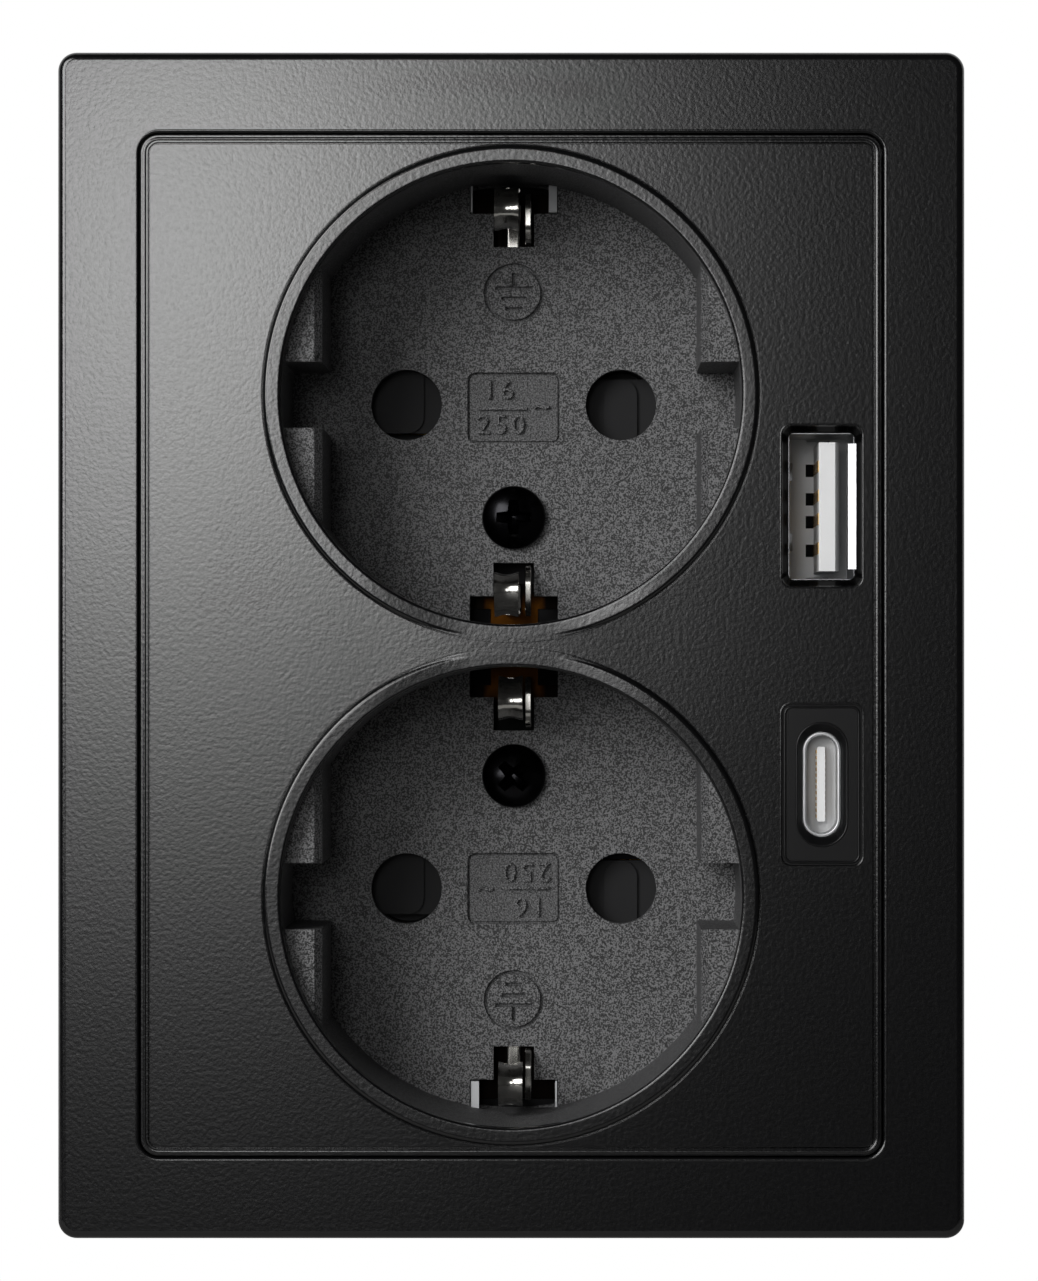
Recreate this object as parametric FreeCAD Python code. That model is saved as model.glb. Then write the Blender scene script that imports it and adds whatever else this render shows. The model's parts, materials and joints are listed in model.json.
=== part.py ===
# Double earthed wall socket with two USB charging ports.
# Millimetres. +X is right, +Z is up, the front looks along -Y.
# The origin lies in the wall plane, halfway between the two box screws.

import FreeCAD
import Part
import math
import os

os.makedirs("parts", exist_ok=True)

Vec = FreeCAD.Vector
BACKWARD = Vec(0, 1, 0)

# How far a cutting shape reaches past the face that it opens, and how deep joined shapes sink in
past = 1.0
sunk = 0.5

# Frame and centre plate
frame_border = 6.95
frame_wall = 1.8
frame_face_thickness = 2.0
frame_corner_radius = 1.6
frame_edge_radius = 0.7
frame_inner_chamfer = 0.25
face_proud = 22.0
plate_gap = 0.16
side_bay_width = 10.39
end_margin = 0.86
plate_thickness = 2.0
plate_corner_radius = 1.5
plate_rim_wall = 1.4
plate_rim_depth = 4.0
groove_inset = 0.6
groove_width = 0.13
groove_depth = 0.25
ledge_overlap = 1.1
ledge_cup_gap = 0.2
ledge_thickness = 1.5
collar_wall = 1.5

# Cups
cup_spacing = 42.86
cup_radius = 19.65
cup_floor_room = 4.5
cup_wall = 1.5
cup_floor_thickness = 1.6
ring_width = 1.45
ring_height = 0.4
ring_edge_chamfer = 0.25
saddle_flat_half = 4.0
saddle_reach = 9.5
rib_width = 3.45
rib_top_depth = 1.9
rib_notch = 5.65
web_half_width = 5.0
web_half_height = 1.5

# Plug pins
pin_spacing = 19.0
pin_hole_radius = 3.125

# Earth slots, measured inwards from the cup's wall
narrow_slot_reach = 5.65
wide_slot_reach = 2.7
narrow_slot_width = 3.6
wide_slot_width = 7.8

# Screws that hold the centre plate
screw_slot_distance = 4.0
screw_radius = 1.5
screw_head_radius = 2.82
screw_head_height = 1.9
screw_head_dome = 0.5
screw_length = 11.5
screw_clearance = 0.2
recess_length = 3.3
recess_width = 0.62
recess_depth = 1.1
insert_radius = 2.3
insert_length = 8.5
thread_clearance = 0.05
screw_boss_radius = 3.0

# Shutters
shutter_thickness = 1.5
shutter_gap = 0.1
shutter_pad_thickness = 0.7
shutter_hub_radius = 4.2
shutter_bar_width = 2.9
shutter_bar_end = 2.4
shutter_bar_drop = 0.45
shutter_bar_length = 7.0
shutter_pad_inner = 7.0
shutter_pad_outer = 12.6
shutter_arm_half_width = 2.0
pivot_radius = 2.0
pivot_clearance = 0.06
spring_coil_radius = 3.0
spring_wire = 0.4
spring_turns = 1.5
spring_pitch = 0.55
spring_tail = 0.5
spring_pocket_inner = 2.5
spring_pocket_outer = 3.6
spring_pocket_depth = 1.5

# Wall side
support_side_inset = 3.6
support_end_inset = 3.5
support_thickness = 1.0
support_corner_radius = 3.0
support_window_clearance = 0.25
support_middle_half_width = 14.0
support_lip_height = 3.0
support_lip_half_length = 20.0
box_screw_spacing = 60.0
box_slot_half_width = 1.8
box_slot_length = 8.0
rivet_housing_distance = 2.95
rivet_radius = 1.5
rivet_head_radius = 2.4
rivet_head_height = 0.8
rivet_length = 2.6

# Insert body that goes into the wall box
base_edge_wall = 1.4338
base_depth = 20.0
carrier_back_y = 0.8
base_seat_gap = 0.05
cover_thickness = 2.0
cover_screw_edge_distance = 3.0
cover_screw_radius = 1.25
cover_screw_head_radius = 2.3
cover_screw_head_height = 1.3
cover_screw_length = 9.0

# Contacts
contact_thickness = 0.7
fork_height = 4.2
fork_back_room = 6.0
fork_tip_y = 1.6
fork_back_gap = 5.0
fork_grip_gap = 4.6
fork_mouth_gap = 5.4
fork_grip_y = 4.6
fork_bow_length = 4.0
bar_front_y = 8.0
chamber_clearance = 0.3

# Earth system
strap_thickness = 0.7
strap_recess_gap = 0.05
strap_middle_width = 4.2
strap_rail_inner = 3.9
strap_rail_outer = 5.3
strap_end_room = 0.75
strap_bridge = 3.4
strap_bridge_width = 2.2
strap_end_width = 5.0
clip_thickness = 0.5
clip_leg_width = 3.4
clip_nose_width = 2.1
clip_upper_nose_shift = -0.5
clip_cheek_start = 1.3
clip_cheek_end = 1.7
clip_cheek_reach = 5.25
clip_cheek_top_y = -6.2
clip_cheek_foot_y = -3.9
clip_leg_room = 1.05
clip_nose_reach = 3.65
clip_top_y = -13.2
clip_nose_y = -9.4
clip_end_y = -5.4
clip_bend_radius = 0.7
clip_foot_length = 2.6
clip_top_width = 1.5
clip_joint_length = 1.5
earth_tab_thickness = 0.8
earth_tab_half_width = 4.5
earth_tab_overlap = 1.0
earth_chamber_room = 1.0

# Wire clamps, measured outwards from the face that the wire is pressed on
wire_entry_radius = 1.7
wire_entry_offset = 1.9
wire_entry_spread = 5.0
clamp_thickness = 0.35
clamp_back_offset = 6.6
clamp_back_room = 4.0
clamp_bend_y = 4.4
clamp_front_room = 1.4
clamp_slit_start = 1.5
clamp_tip_offset = 0.7
clamp_tip_room = 7.5
clamp_bend_radius = 0.9
blade_inner = 1.0
blade_outer = 8.2
blade_end_room = 2.0
earth_blade_inner = 0.4
earth_blade_inset = 0.2
earth_entry_spread = 2.7
button_stem_inner = 3.9
button_stem_outer = 5.9
button_stem_half_width = 2.5
button_foot_room = 8.8
button_foot_thickness = 2.0
button_proud = 1.2
button_gap = 0.2

# USB module
usb_edge_distance = 5.04
usb_z = 11.85
usb_opening_width = 7.03
usb_opening_height = 13.93
usb_opening_radius = 0.9
usb_a_inner_width = 5.5
usb_a_inner_height = 12.4
usb_a_inner_radius = 0.25
usb_a_wall = 0.3
usb_a_front_depth = 1.3
usb_a_mouth_play = 0.1
usb_a_length = 13.7
usb_a_back_block = 3.0
usb_a_tongue_width = 1.84
usb_a_tongue_height = 11.1
usb_a_tongue_shift = 0.75
usb_a_tongue_setback = 0.5
usb_a_contact_width = 1.0
usb_a_contact_setback = 0.8
usb_a_contact_offsets = (-3.5, -1.0, 1.0, 3.5)
usb_contact_thickness = 0.15
usb_c_width = 3.2
usb_c_height = 8.94
usb_c_wall = 0.28
usb_c_front_depth = 0.9
usb_c_length = 8.2
usb_c_back_block = 2.0
usb_c_tongue_width = 0.7
usb_c_tongue_height = 6.4
usb_c_tongue_setback = 1.0
usb_c_contact_count = 12
usb_c_contact_pitch = 0.5
usb_c_contact_width = 0.27
usb_c_leg_width = 1.0
usb_c_leg_start = 3.0
usb_c_leg_offset = 2.0
usb_c_contact_setback = 0.6
bezel_clearance = 0.06
bezel_setback = 0.22
bezel_thickness = 1.6
bezel_hole_width = 4.17
bezel_hole_height = 10.4
board_thickness = 1.6
board_end_room = 5.1
board_front_room = 6.0
transformer_height = 8.6
transformer_width = 5.6
transformer_front_room = 7.0
transformer_back_y = -4.0
transformer_edge_gap = 0.8
core_yoke = 2.0
bobbin_overhang = 0.4
can_radius = 2.4
can_gap = 0.1
can_chamfer = 0.3
can_z = 21.2
chip_size = 4.0
chip_thickness = 1.0
chip_back_y = -7.0
housing_wall = 1.0
housing_frame_gap = 2.8
housing_left_gap = 0.3
housing_front_room = 5.8
housing_board_gap = 0.1
driver_hole_radius = 4.2
lead_thickness = 0.4
lead_width = 1.6
lead_bend_radius = 0.8
lead_z = 9.6
lead_offset = 1.25
lead_start_room = 17.0
lead_back_room = 2.4
lead_clearance = 0.25

# Levels worked out from the sizes above
face_y = -face_proud
plate_back_y = face_y + plate_thickness
ring_top_y = face_y - ring_height
floor_front_y = -cup_floor_room
floor_back_y = floor_front_y + cup_floor_thickness
shutter_front_y = floor_back_y + shutter_gap
shutter_back_y = shutter_front_y + shutter_thickness
base_front_y = shutter_back_y + shutter_gap
cover_back_y = base_depth + cover_thickness
cup_outer_radius = cup_radius + cup_wall
ring_outer_radius = cup_radius + ring_width
cup_z = cup_spacing / 2
pin_x = pin_spacing / 2
plate_width = 2 * (ring_outer_radius + side_bay_width)
plate_height = 2 * (cup_z + ring_outer_radius + end_margin)
window_width = plate_width + 2 * plate_gap
window_height = plate_height + 2 * plate_gap
frame_width = window_width + 2 * frame_border
frame_height = window_height + 2 * frame_border
support_width = frame_width - 2 * support_side_inset
support_height = frame_height - 2 * support_end_inset
ledge_front_y = face_y + plate_rim_depth
rib_flat = cup_radius - rib_width
narrow_slot_start = cup_radius - narrow_slot_reach
wide_slot_start = cup_radius - wide_slot_reach
plate_screw_offset = narrow_slot_start - screw_slot_distance
screw_z = cup_z - plate_screw_offset
strap_end = cup_radius - strap_end_room
clip_leg_offset = cup_radius - clip_leg_room
clip_nose_offset = cup_radius - clip_nose_reach
clip_cheek_offset = cup_radius - clip_cheek_reach
base_radius = (pin_x ** 2 + cup_z ** 2) ** 0.5 + pin_hole_radius + base_edge_wall
bar_inner_x = pin_x + fork_back_gap / 2
bar_outer_x = bar_inner_x + contact_thickness
fork_web_y = base_depth - fork_back_room
fork_back_y = fork_web_y + contact_thickness
clamp_back_end_y = base_depth - clamp_back_room
clamp_tip_y = base_depth - clamp_tip_room
button_foot_y = base_depth - button_foot_room
cover_screw_z = base_radius - cover_screw_edge_distance
strap_front_y = base_front_y + strap_recess_gap
strap_back_y = strap_front_y + strap_thickness
usb_x = plate_width / 2 - usb_edge_distance
board_half_height = usb_z + usb_opening_height / 2 + board_end_room
board_front_y = face_y + board_front_room
board_left = usb_x - usb_a_inner_width / 2 - usb_a_wall - board_thickness
board_right = board_left + board_thickness
housing_left = cup_outer_radius + housing_left_gap
housing_front_y = face_y + housing_front_room
transformer_front_y = face_y + transformer_front_room
rivet_x = housing_left - rivet_housing_distance
housing_right = frame_width / 2 - frame_wall - housing_frame_gap
lead_x = board_right + lead_offset
lead_start_y = face_y + lead_start_room
lead_run_y = base_depth - lead_back_room


# Basic shapes

def block(x0, x1, y0, y1, z0, z1):
    return Part.makeBox(x1 - x0, y1 - y0, z1 - z0, Vec(x0, y0, z0))


def disc(radius, y0, y1, x=0, z=0):
    return Part.makeCylinder(radius, y1 - y0, Vec(x, y0, z), BACKWARD)


def rounded_outline(width, height, radius, y, x=0, z=0):
    left, right = x - width / 2, x + width / 2
    low, high = z - height / 2, z + height / 2
    corners = [(right - radius, high - radius, 0), (left + radius, high - radius, 90),
               (left + radius, low + radius, 180), (right - radius, low + radius, 270)]
    arcs = []
    for cx, cz, start in corners:
        points = []
        for turn in (start, start + 45, start + 90):
            angle = math.radians(turn)
            points.append(Vec(cx + radius * math.cos(angle), y, cz + radius * math.sin(angle)))
        arcs.append(points)
    edges = []
    for index, arc in enumerate(arcs):
        edges.append(Part.Arc(*arc).toShape())
        following = arcs[(index + 1) % len(arcs)]
        if arc[2].distanceToPoint(following[0]) > 1e-6:
            edges.append(Part.makeLine(arc[2], following[0]))
    return Part.Wire(edges)


def rounded_slab(width, height, radius, y0, y1, x=0, z=0):
    return Part.Face(rounded_outline(width, height, radius, y0, x, z)).extrude(Vec(0, y1 - y0, 0))


def tapered_slab(front, back, y0, y1, x=0, z=0):
    outlines = [rounded_outline(*front, y0, x, z), rounded_outline(*back, y1, x, z)]
    return Part.makeLoft(outlines, True, True)


def rounded_path(points, radius):
    vectors = [Vec(*point) for point in points]
    edges = []
    start = vectors[0]
    for before, corner, after in zip(vectors, vectors[1:], vectors[2:]):
        arriving = (corner - before).normalize()
        leaving = (after - corner).normalize()
        half_turn = arriving.getAngle(leaving) / 2
        reach = radius * math.tan(half_turn)
        arc_start = corner - arriving * reach
        arc_end = corner + leaving * reach
        inward = (leaving - arriving).normalize()
        arc_middle = corner + inward * (radius / math.cos(half_turn) - radius)
        edges.append(Part.makeLine(start, arc_start))
        edges.append(Part.Arc(arc_start, arc_middle, arc_end).toShape())
        start = arc_end
    edges.append(Part.makeLine(start, vectors[-1]))
    return Part.Wire(edges)


def bent_strip(points, bend_radius, thickness, side, width_start, width_end):
    # A strip bent along a path in one plane; side is the direction of the strip's width.
    path = rounded_path(points, bend_radius)
    first = Vec(*points[0])
    along = (Vec(*points[1]) - first).normalize()
    across = along.cross(side)
    corners = [first + across * (sign * thickness / 2) + side * reach
               for sign, reach in ((-1, width_start), (1, width_start), (1, width_end), (-1, width_end))]
    sweep = Part.BRepOffsetAPI.MakePipeShell(path)
    sweep.setBiNormalMode(side)
    sweep.add(Part.makePolygon(corners + [corners[0]]))
    sweep.build()
    sweep.makeSolid()
    return sweep.shape()


def turned(shape, angle, z=0):
    # Turn about the Y direction through (0, 0, z); positive brings the top to the right.
    copy = shape.copy()
    copy.rotate(Vec(0, 0, z), BACKWARD, angle)
    return copy


def joined(shapes):
    return shapes[0].multiFuse(shapes[1:]).removeSplitter() if len(shapes) > 1 else shapes[0]


def save(name, *solids):
    shape = solids[0] if len(solids) == 1 else Part.makeCompound(list(solids))
    shape.exportStep("parts/" + name + ".step")
    volume = sum(solid.Volume for solid in solids)
    print(f"{name}: {len(shape.Solids)} solid, valid {shape.isValid()}, {volume:.1f} mm3")


def edges_at(shape, y):
    return [edge for edge in shape.Edges if all(abs(vertex.Y - y) < 1e-4 for vertex in edge.Vertexes)
            and abs(edge.BoundBox.YMax - edge.BoundBox.YMin) < 1e-4]


# Outer frame

def make_outer_frame():
    shell = rounded_slab(frame_width, frame_height, frame_corner_radius, face_y, 0)
    shell = shell.makeFillet(frame_edge_radius, edges_at(shell, face_y))
    hollow = rounded_slab(frame_width - 2 * frame_wall, frame_height - 2 * frame_wall,
                          frame_corner_radius / 2, face_y + frame_face_thickness, 1)
    collar = rounded_slab(window_width + 2 * collar_wall, window_height + 2 * collar_wall,
                          plate_corner_radius + collar_wall, face_y + frame_edge_radius,
                          ledge_front_y + ledge_thickness)
    window = rounded_slab(window_width, window_height, plate_corner_radius + plate_gap,
                          face_y - past, ledge_front_y)
    ledge_window = rounded_slab(plate_width - 2 * ledge_overlap,
                                2 * (cup_z + cup_outer_radius + ledge_cup_gap),
                                plate_corner_radius / 2, face_y - past, 1)
    frame = shell.cut(hollow).fuse(collar).cut(window).cut(ledge_window).removeSplitter()
    inner_edges = [edge for edge in edges_at(frame, face_y)
                   if abs(edge.CenterOfMass.x) < window_width / 2 + plate_gap
                   and abs(edge.CenterOfMass.z) < window_height / 2 + plate_gap]
    return frame.makeChamfer(frame_inner_chamfer, inner_edges)


# Centre plate with both cups

def make_rings():
    # A raised ring round each cup, and between them a saddle that runs out into the plate on both sides.
    rings = []
    for side in (1, -1):
        ring = disc(ring_outer_radius, ring_top_y, plate_back_y, 0, side * cup_z)
        rings.append(ring.makeChamfer(ring_edge_chamfer, edges_at(ring, ring_top_y)))
    half_height = cup_z - (ring_outer_radius ** 2 - saddle_reach ** 2) ** 0.5
    profile = [(-saddle_reach, face_y), (-saddle_flat_half, ring_top_y), (saddle_flat_half, ring_top_y),
               (saddle_reach, face_y), (saddle_reach, plate_back_y), (-saddle_reach, plate_back_y),
               (-saddle_reach, face_y)]
    outline = Part.makePolygon([Vec(x, y, -half_height) for x, y in profile])
    saddle = Part.Face(outline).extrude(Vec(0, 0, 2 * half_height))
    return rings + [saddle]


def cup_cavity(z):
    cavity = disc(cup_radius, ring_top_y - past, floor_front_y, 0, z)
    rib_top_y = face_y + rib_top_depth
    for side_x in (1, -1):
        for side_z in (1, -1):
            x0, x1 = sorted((side_x * rib_flat, side_x * cup_outer_radius))
            z0, z1 = sorted((z + side_z * rib_notch / 2, z + side_z * cup_outer_radius))
            cavity = cavity.cut(block(x0, x1, rib_top_y, floor_front_y, z0, z1))
    return cavity


def floor_openings(z, screw_side):
    openings = []
    for side in (1, -1):
        openings.append(disc(pin_hole_radius, floor_front_y - past, floor_back_y + past, side * pin_x, z))
        narrow = sorted((z + side * narrow_slot_start, z + side * (wide_slot_start + past)))
        wide = sorted((z + side * wide_slot_start, z + side * cup_radius))
        openings.append(block(-narrow_slot_width / 2, narrow_slot_width / 2,
                              floor_front_y - past, floor_back_y + past, *narrow))
        openings.append(block(-wide_slot_width / 2, wide_slot_width / 2,
                              floor_front_y - past, floor_back_y + past, *wide))
    openings.append(disc(screw_radius + screw_clearance, floor_front_y - past, floor_back_y + past,
                         0, z + screw_side * plate_screw_offset))
    return openings


def usb_a_opening():
    mouth = (usb_a_inner_width + usb_a_mouth_play, usb_a_inner_height + usb_a_mouth_play,
             usb_opening_radius / 2)
    funnel = tapered_slab((usb_opening_width, usb_opening_height, usb_opening_radius), mouth,
                          face_y, face_y + usb_a_front_depth, usb_x, usb_z)
    seat = rounded_slab(usb_a_inner_width + 2 * usb_a_wall + 2 * bezel_clearance,
                        usb_a_inner_height + 2 * usb_a_wall + 2 * bezel_clearance,
                        usb_opening_radius / 2, face_y + usb_a_front_depth, plate_back_y + past, usb_x, usb_z)
    return funnel.fuse(seat)


def usb_c_opening():
    return rounded_slab(usb_opening_width, usb_opening_height, usb_opening_radius,
                        face_y - past, plate_back_y + past, usb_x, -usb_z)


def make_centre_plate():
    plate = rounded_slab(plate_width, plate_height, plate_corner_radius, face_y, ledge_front_y)
    inside = rounded_slab(plate_width - 2 * plate_rim_wall, plate_height - 2 * plate_rim_wall,
                          plate_corner_radius / 2, plate_back_y, ledge_front_y + past)
    plate = plate.cut(inside)
    inset = plate_corner_radius - groove_inset
    groove = rounded_slab(plate_width - 2 * groove_inset, plate_height - 2 * groove_inset,
                          inset, face_y - past, face_y + groove_depth)
    groove_core = rounded_slab(plate_width - 2 * (groove_inset + groove_width),
                               plate_height - 2 * (groove_inset + groove_width),
                               inset - groove_width, face_y - past, face_y + groove_depth)
    plate = plate.cut(groove.cut(groove_core))
    solids = [plate] + make_rings()
    for side in (1, -1):
        solids.append(disc(cup_outer_radius, plate_back_y - sunk, base_front_y, 0, side * cup_z))
    solids.append(block(-web_half_width, web_half_width, plate_back_y - sunk, floor_back_y,
                        -web_half_height, web_half_height))
    plate = solids[0].multiFuse(solids[1:])
    cutters = []
    for side in (1, -1):
        z = side * cup_z
        cutters.append(cup_cavity(z))
        cutters.append(disc(cup_radius, floor_back_y, base_front_y + past, 0, z))
        cutters.extend(floor_openings(z, -side))
    cutters.append(usb_a_opening())
    cutters.append(usb_c_opening())
    plate = plate.cut(cutters).removeSplitter()
    mouth_edges = [edge for edge in edges_at(plate, ring_top_y)
                   if edge.Curve.TypeId == "Part::GeomCircle" and abs(edge.Curve.Radius - cup_radius) < 1e-3]
    return plate.makeChamfer(ring_edge_chamfer, mouth_edges)


# Screws that hold the centre plate, and the inserts that take them

def make_plate_screw(z, recess_angle):
    head_top_y = floor_front_y - screw_head_height
    head = disc(screw_head_radius, head_top_y, floor_front_y, 0, z)
    head = head.makeChamfer(screw_head_dome, edges_at(head, head_top_y))
    shank = disc(screw_radius, floor_front_y, floor_front_y + screw_length, 0, z)
    half_length, half_width = recess_length / 2, recess_width / 2
    recess = block(-half_length, half_length, head_top_y - past, head_top_y + recess_depth,
                   z - half_width, z + half_width)
    recess = recess.fuse(turned(recess, 90, z))
    return head.fuse(shank).cut(turned(recess, recess_angle, z)).removeSplitter()


def make_threaded_insert(z):
    outer = disc(insert_radius, floor_back_y, floor_back_y + insert_length, 0, z)
    return outer.cut(disc(screw_radius + thread_clearance, floor_back_y - past,
                          floor_back_y + insert_length + past, 0, z))


# Safety shutters and their springs

def make_shutter(z):
    hub = disc(shutter_hub_radius, shutter_front_y, shutter_back_y, 0, z)
    pad_front_y = shutter_back_y - shutter_pad_thickness
    arm = block(-shutter_pad_outer + past, shutter_pad_outer - past, pad_front_y, shutter_back_y,
                z - shutter_arm_half_width, z + shutter_arm_half_width)
    solids = [hub, arm]
    half_bar = shutter_bar_width / 2
    # The bars lie a little lower than the hub, which runs on the back of the cup floor.
    bar_front_y = shutter_front_y + shutter_bar_drop
    for side in (1, -1):
        low, high = sorted((z + side * shutter_bar_end, z + side * (shutter_bar_end - shutter_bar_length)))
        inner, outer = sorted((side * shutter_pad_inner, side * shutter_pad_outer))
        solids.append(block(inner, outer, pad_front_y, shutter_back_y, low, high))
        round_z = z + side * (shutter_bar_end - half_bar)
        far_z = z + side * (shutter_bar_end - shutter_bar_length)
        bar_low, bar_high = sorted((round_z, far_z))
        solids.append(block(side * pin_x - half_bar, side * pin_x + half_bar,
                            bar_front_y, shutter_back_y, bar_low, bar_high))
        solids.append(disc(half_bar, bar_front_y, shutter_back_y, side * pin_x, round_z))
    shutter = joined(solids)
    pivot_hole = disc(pivot_radius + pivot_clearance, shutter_front_y - past, shutter_back_y + past, 0, z)
    shutter = shutter.cut(pivot_hole)
    half = spring_wire / 2 + shutter_gap
    tail_hole = block(spring_coil_radius - half, spring_coil_radius + half,
                      shutter_back_y - spring_tail - shutter_gap, shutter_back_y + past, z - half, z + half)
    return shutter.cut(tail_hole)


def make_shutter_spring(z):
    coil_height = spring_turns * spring_pitch
    coil_front_y = shutter_back_y + shutter_gap + spring_wire / 2
    helix = Part.makeHelix(spring_pitch, coil_height, spring_coil_radius)
    near, far = spring_coil_radius - spring_wire / 2, spring_coil_radius + spring_wire / 2
    half = spring_wire / 2
    section = Part.makePolygon([Vec(near, 0, -half), Vec(far, 0, -half), Vec(far, 0, half),
                                Vec(near, 0, half), Vec(near, 0, -half)])
    coil = Part.Wire(helix.Edges).makePipeShell([section], True, True)
    coil.rotate(Vec(0, 0, 0), Vec(1, 0, 0), -90)
    coil.translate(Vec(0, coil_front_y, z))
    tail = block(near, far, shutter_back_y - spring_tail, coil_front_y, z - half, z + half)
    return coil.fuse(tail)


# Steel plate against the wall

def lead_span(side):
    half = lead_width / 2 + lead_clearance
    return side * lead_z - half, side * lead_z + half


def lead_slot(side, y0, y1):
    half = lead_thickness / 2 + lead_clearance
    return block(lead_x - half, lead_x + half, y0, y1, *lead_span(side))


def cup_window(extra, y0, y1):
    discs = [disc(cup_outer_radius + extra, y0, y1, 0, side * cup_z) for side in (1, -1)]
    half = support_middle_half_width + extra
    middle = block(-half, half, y0, y1, -cup_z, cup_z)
    return joined([discs[0], discs[1], middle])


def make_support_plate():
    plate = rounded_slab(support_width, support_height, support_corner_radius, -support_thickness, 0)
    solids = [plate]
    for side in (1, -1):
        z0, z1 = sorted((side * support_height / 2, side * (support_height / 2 - support_thickness)))
        solids.append(block(-support_lip_half_length, support_lip_half_length,
                            -support_thickness - support_lip_height, 0, z0, z1))
    plate = joined(solids)
    cutters = [cup_window(support_window_clearance, -support_thickness - past, past)]
    for side in (1, -1):
        cutters.append(rounded_slab(box_slot_length, 2 * box_slot_half_width, box_slot_half_width - 1e-3,
                                    -support_thickness - past, past, side * box_screw_spacing / 2, 0))
        cutters.append(lead_slot(side, -support_thickness - past, past))
        cutters.append(disc(rivet_radius, -support_thickness - past, past, side * rivet_x))
    return plate.cut(cutters)


def make_rivet(x):
    head = disc(rivet_head_radius, -support_thickness - rivet_head_height, -support_thickness, x)
    return head.fuse(disc(rivet_radius, -support_thickness, rivet_length, x))


# Insert body

def clamp_place(shape, pole):
    # The clamps are drawn for the live side; the others are turned or moved copies.
    if pole == "live":
        return shape
    if pole == "neutral":
        return turned(shape, 180)
    moved = turned(shape, -90)
    moved.translate(Vec(0, 0, -bar_outer_x))
    return moved


def strap_openings(extra):
    # Windows in the strap round the pivot pins and the plate screws.
    inner = strap_rail_inner - extra
    cutters = []
    for side in (1, -1):
        z0, z1 = sorted((side * (strap_bridge + strap_bridge_width + extra),
                         side * (cup_z + strap_end - strap_end_width - extra)))
        cutters.append(block(-inner, inner, strap_front_y - past, strap_back_y + past, z0, z1))
    return cutters


def strap_blank(extra, y0, y1):
    outer = strap_rail_outer + extra
    reach = cup_z + strap_end + extra
    blank = block(-outer, outer, y0, y1, -reach, reach)
    half = strap_middle_width / 2 + extra
    for side in (1, -1):
        x0, x1 = sorted((side * half, side * (outer + past)))
        blank = blank.cut(block(x0, x1, y0 - past, y1 + past, -strap_bridge + extra, strap_bridge - extra))
    return blank.cut(strap_openings(extra))


def insert_bores(y0, y1):
    bores = []
    for side in (1, -1):
        bores.append(disc(rivet_radius, y0, y1, side * rivet_x))
        bores.append(disc(insert_radius, y0, y1, 0, side * screw_z))
        bores.append(lead_slot(side, y0, y1))
    half = strap_middle_width / 2 + strap_recess_gap
    bores.append(block(-half, half, y0, y1, -earth_tab_thickness, 0))
    return bores


def make_shutter_carrier():
    # Closes the contact base in front, lies behind both cup floors and carries the shutters.
    flange = cup_window(-base_seat_gap, base_front_y, carrier_back_y)
    solids = [flange, disc(base_radius, 0, carrier_back_y)]
    for side in (1, -1):
        solids.append(disc(pivot_radius, shutter_front_y, base_front_y + sunk, 0, side * cup_z))
        solids.append(disc(screw_boss_radius, floor_back_y, base_front_y + sunk, 0, side * screw_z))
    carrier = solids[0].multiFuse(solids[1:])
    cutters = insert_bores(floor_back_y - past, carrier_back_y + past)
    cutters.append(strap_blank(strap_recess_gap, strap_front_y - past, strap_back_y))
    for side_z in (1, -1):
        z = side_z * cup_z
        for side_x in (1, -1):
            cutters.append(disc(pin_hole_radius, base_front_y - past, carrier_back_y + past,
                                side_x * pin_x, z))
        pocket = disc(spring_pocket_outer, base_front_y - past, base_front_y + spring_pocket_depth, 0, z)
        cutters.append(pocket.cut(disc(spring_pocket_inner, base_front_y - 2 * past, base_depth, 0, z)))
    return carrier.cut(cutters).removeSplitter()


def chamber(x0, x1, y0, z0, z1):
    return block(x0, x1, y0, base_depth + past, z0, z1)


def make_contact_base():
    body = disc(base_radius, carrier_back_y, base_depth)
    inner_x = pin_x - fork_back_gap / 2 - contact_thickness - chamber_clearance
    bar_x = bar_inner_x - chamber_clearance
    outer_x = bar_outer_x + chamber_clearance
    half_z = fork_height / 2 + chamber_clearance
    cutters = insert_bores(carrier_back_y - past, insert_length)
    for side_x in (1, -1):
        for side_z in (1, -1):
            z = side_z * cup_z
            cutters.append(chamber(*sorted((side_x * inner_x, side_x * outer_x)), carrier_back_y - past,
                                   z - half_z, z + half_z))
        cutters.append(chamber(*sorted((side_x * bar_x, side_x * outer_x)), bar_front_y, -cup_z, cup_z))
    for pole in ("live", "neutral"):
        room = chamber(bar_x, bar_outer_x + clamp_back_offset + chamber_clearance,
                       clamp_bend_y - clamp_front_room, -blade_outer - blade_end_room,
                       blade_outer + blade_end_room)
        cutters.append(clamp_place(room, pole))
    half_x = earth_tab_half_width + earth_chamber_room
    cutters.append(chamber(-half_x, half_x, clamp_bend_y - clamp_front_room,
                           -earth_tab_thickness - chamber_clearance, clamp_back_offset + chamber_clearance))
    for side, far_x in ((1, bar_x), (-1, -outer_x)):
        z0, z1 = lead_span(side)
        cutters.append(lead_slot(side, carrier_back_y - past, base_depth + past))
        cutters.append(chamber(far_x, lead_x, lead_run_y - lead_thickness / 2 - lead_clearance, z0, z1))
        cutters.append(disc(cover_screw_radius, cover_back_y - cover_screw_length, base_depth + past,
                            0, side * cover_screw_z))
    return body.cut(cutters).removeSplitter()


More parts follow.
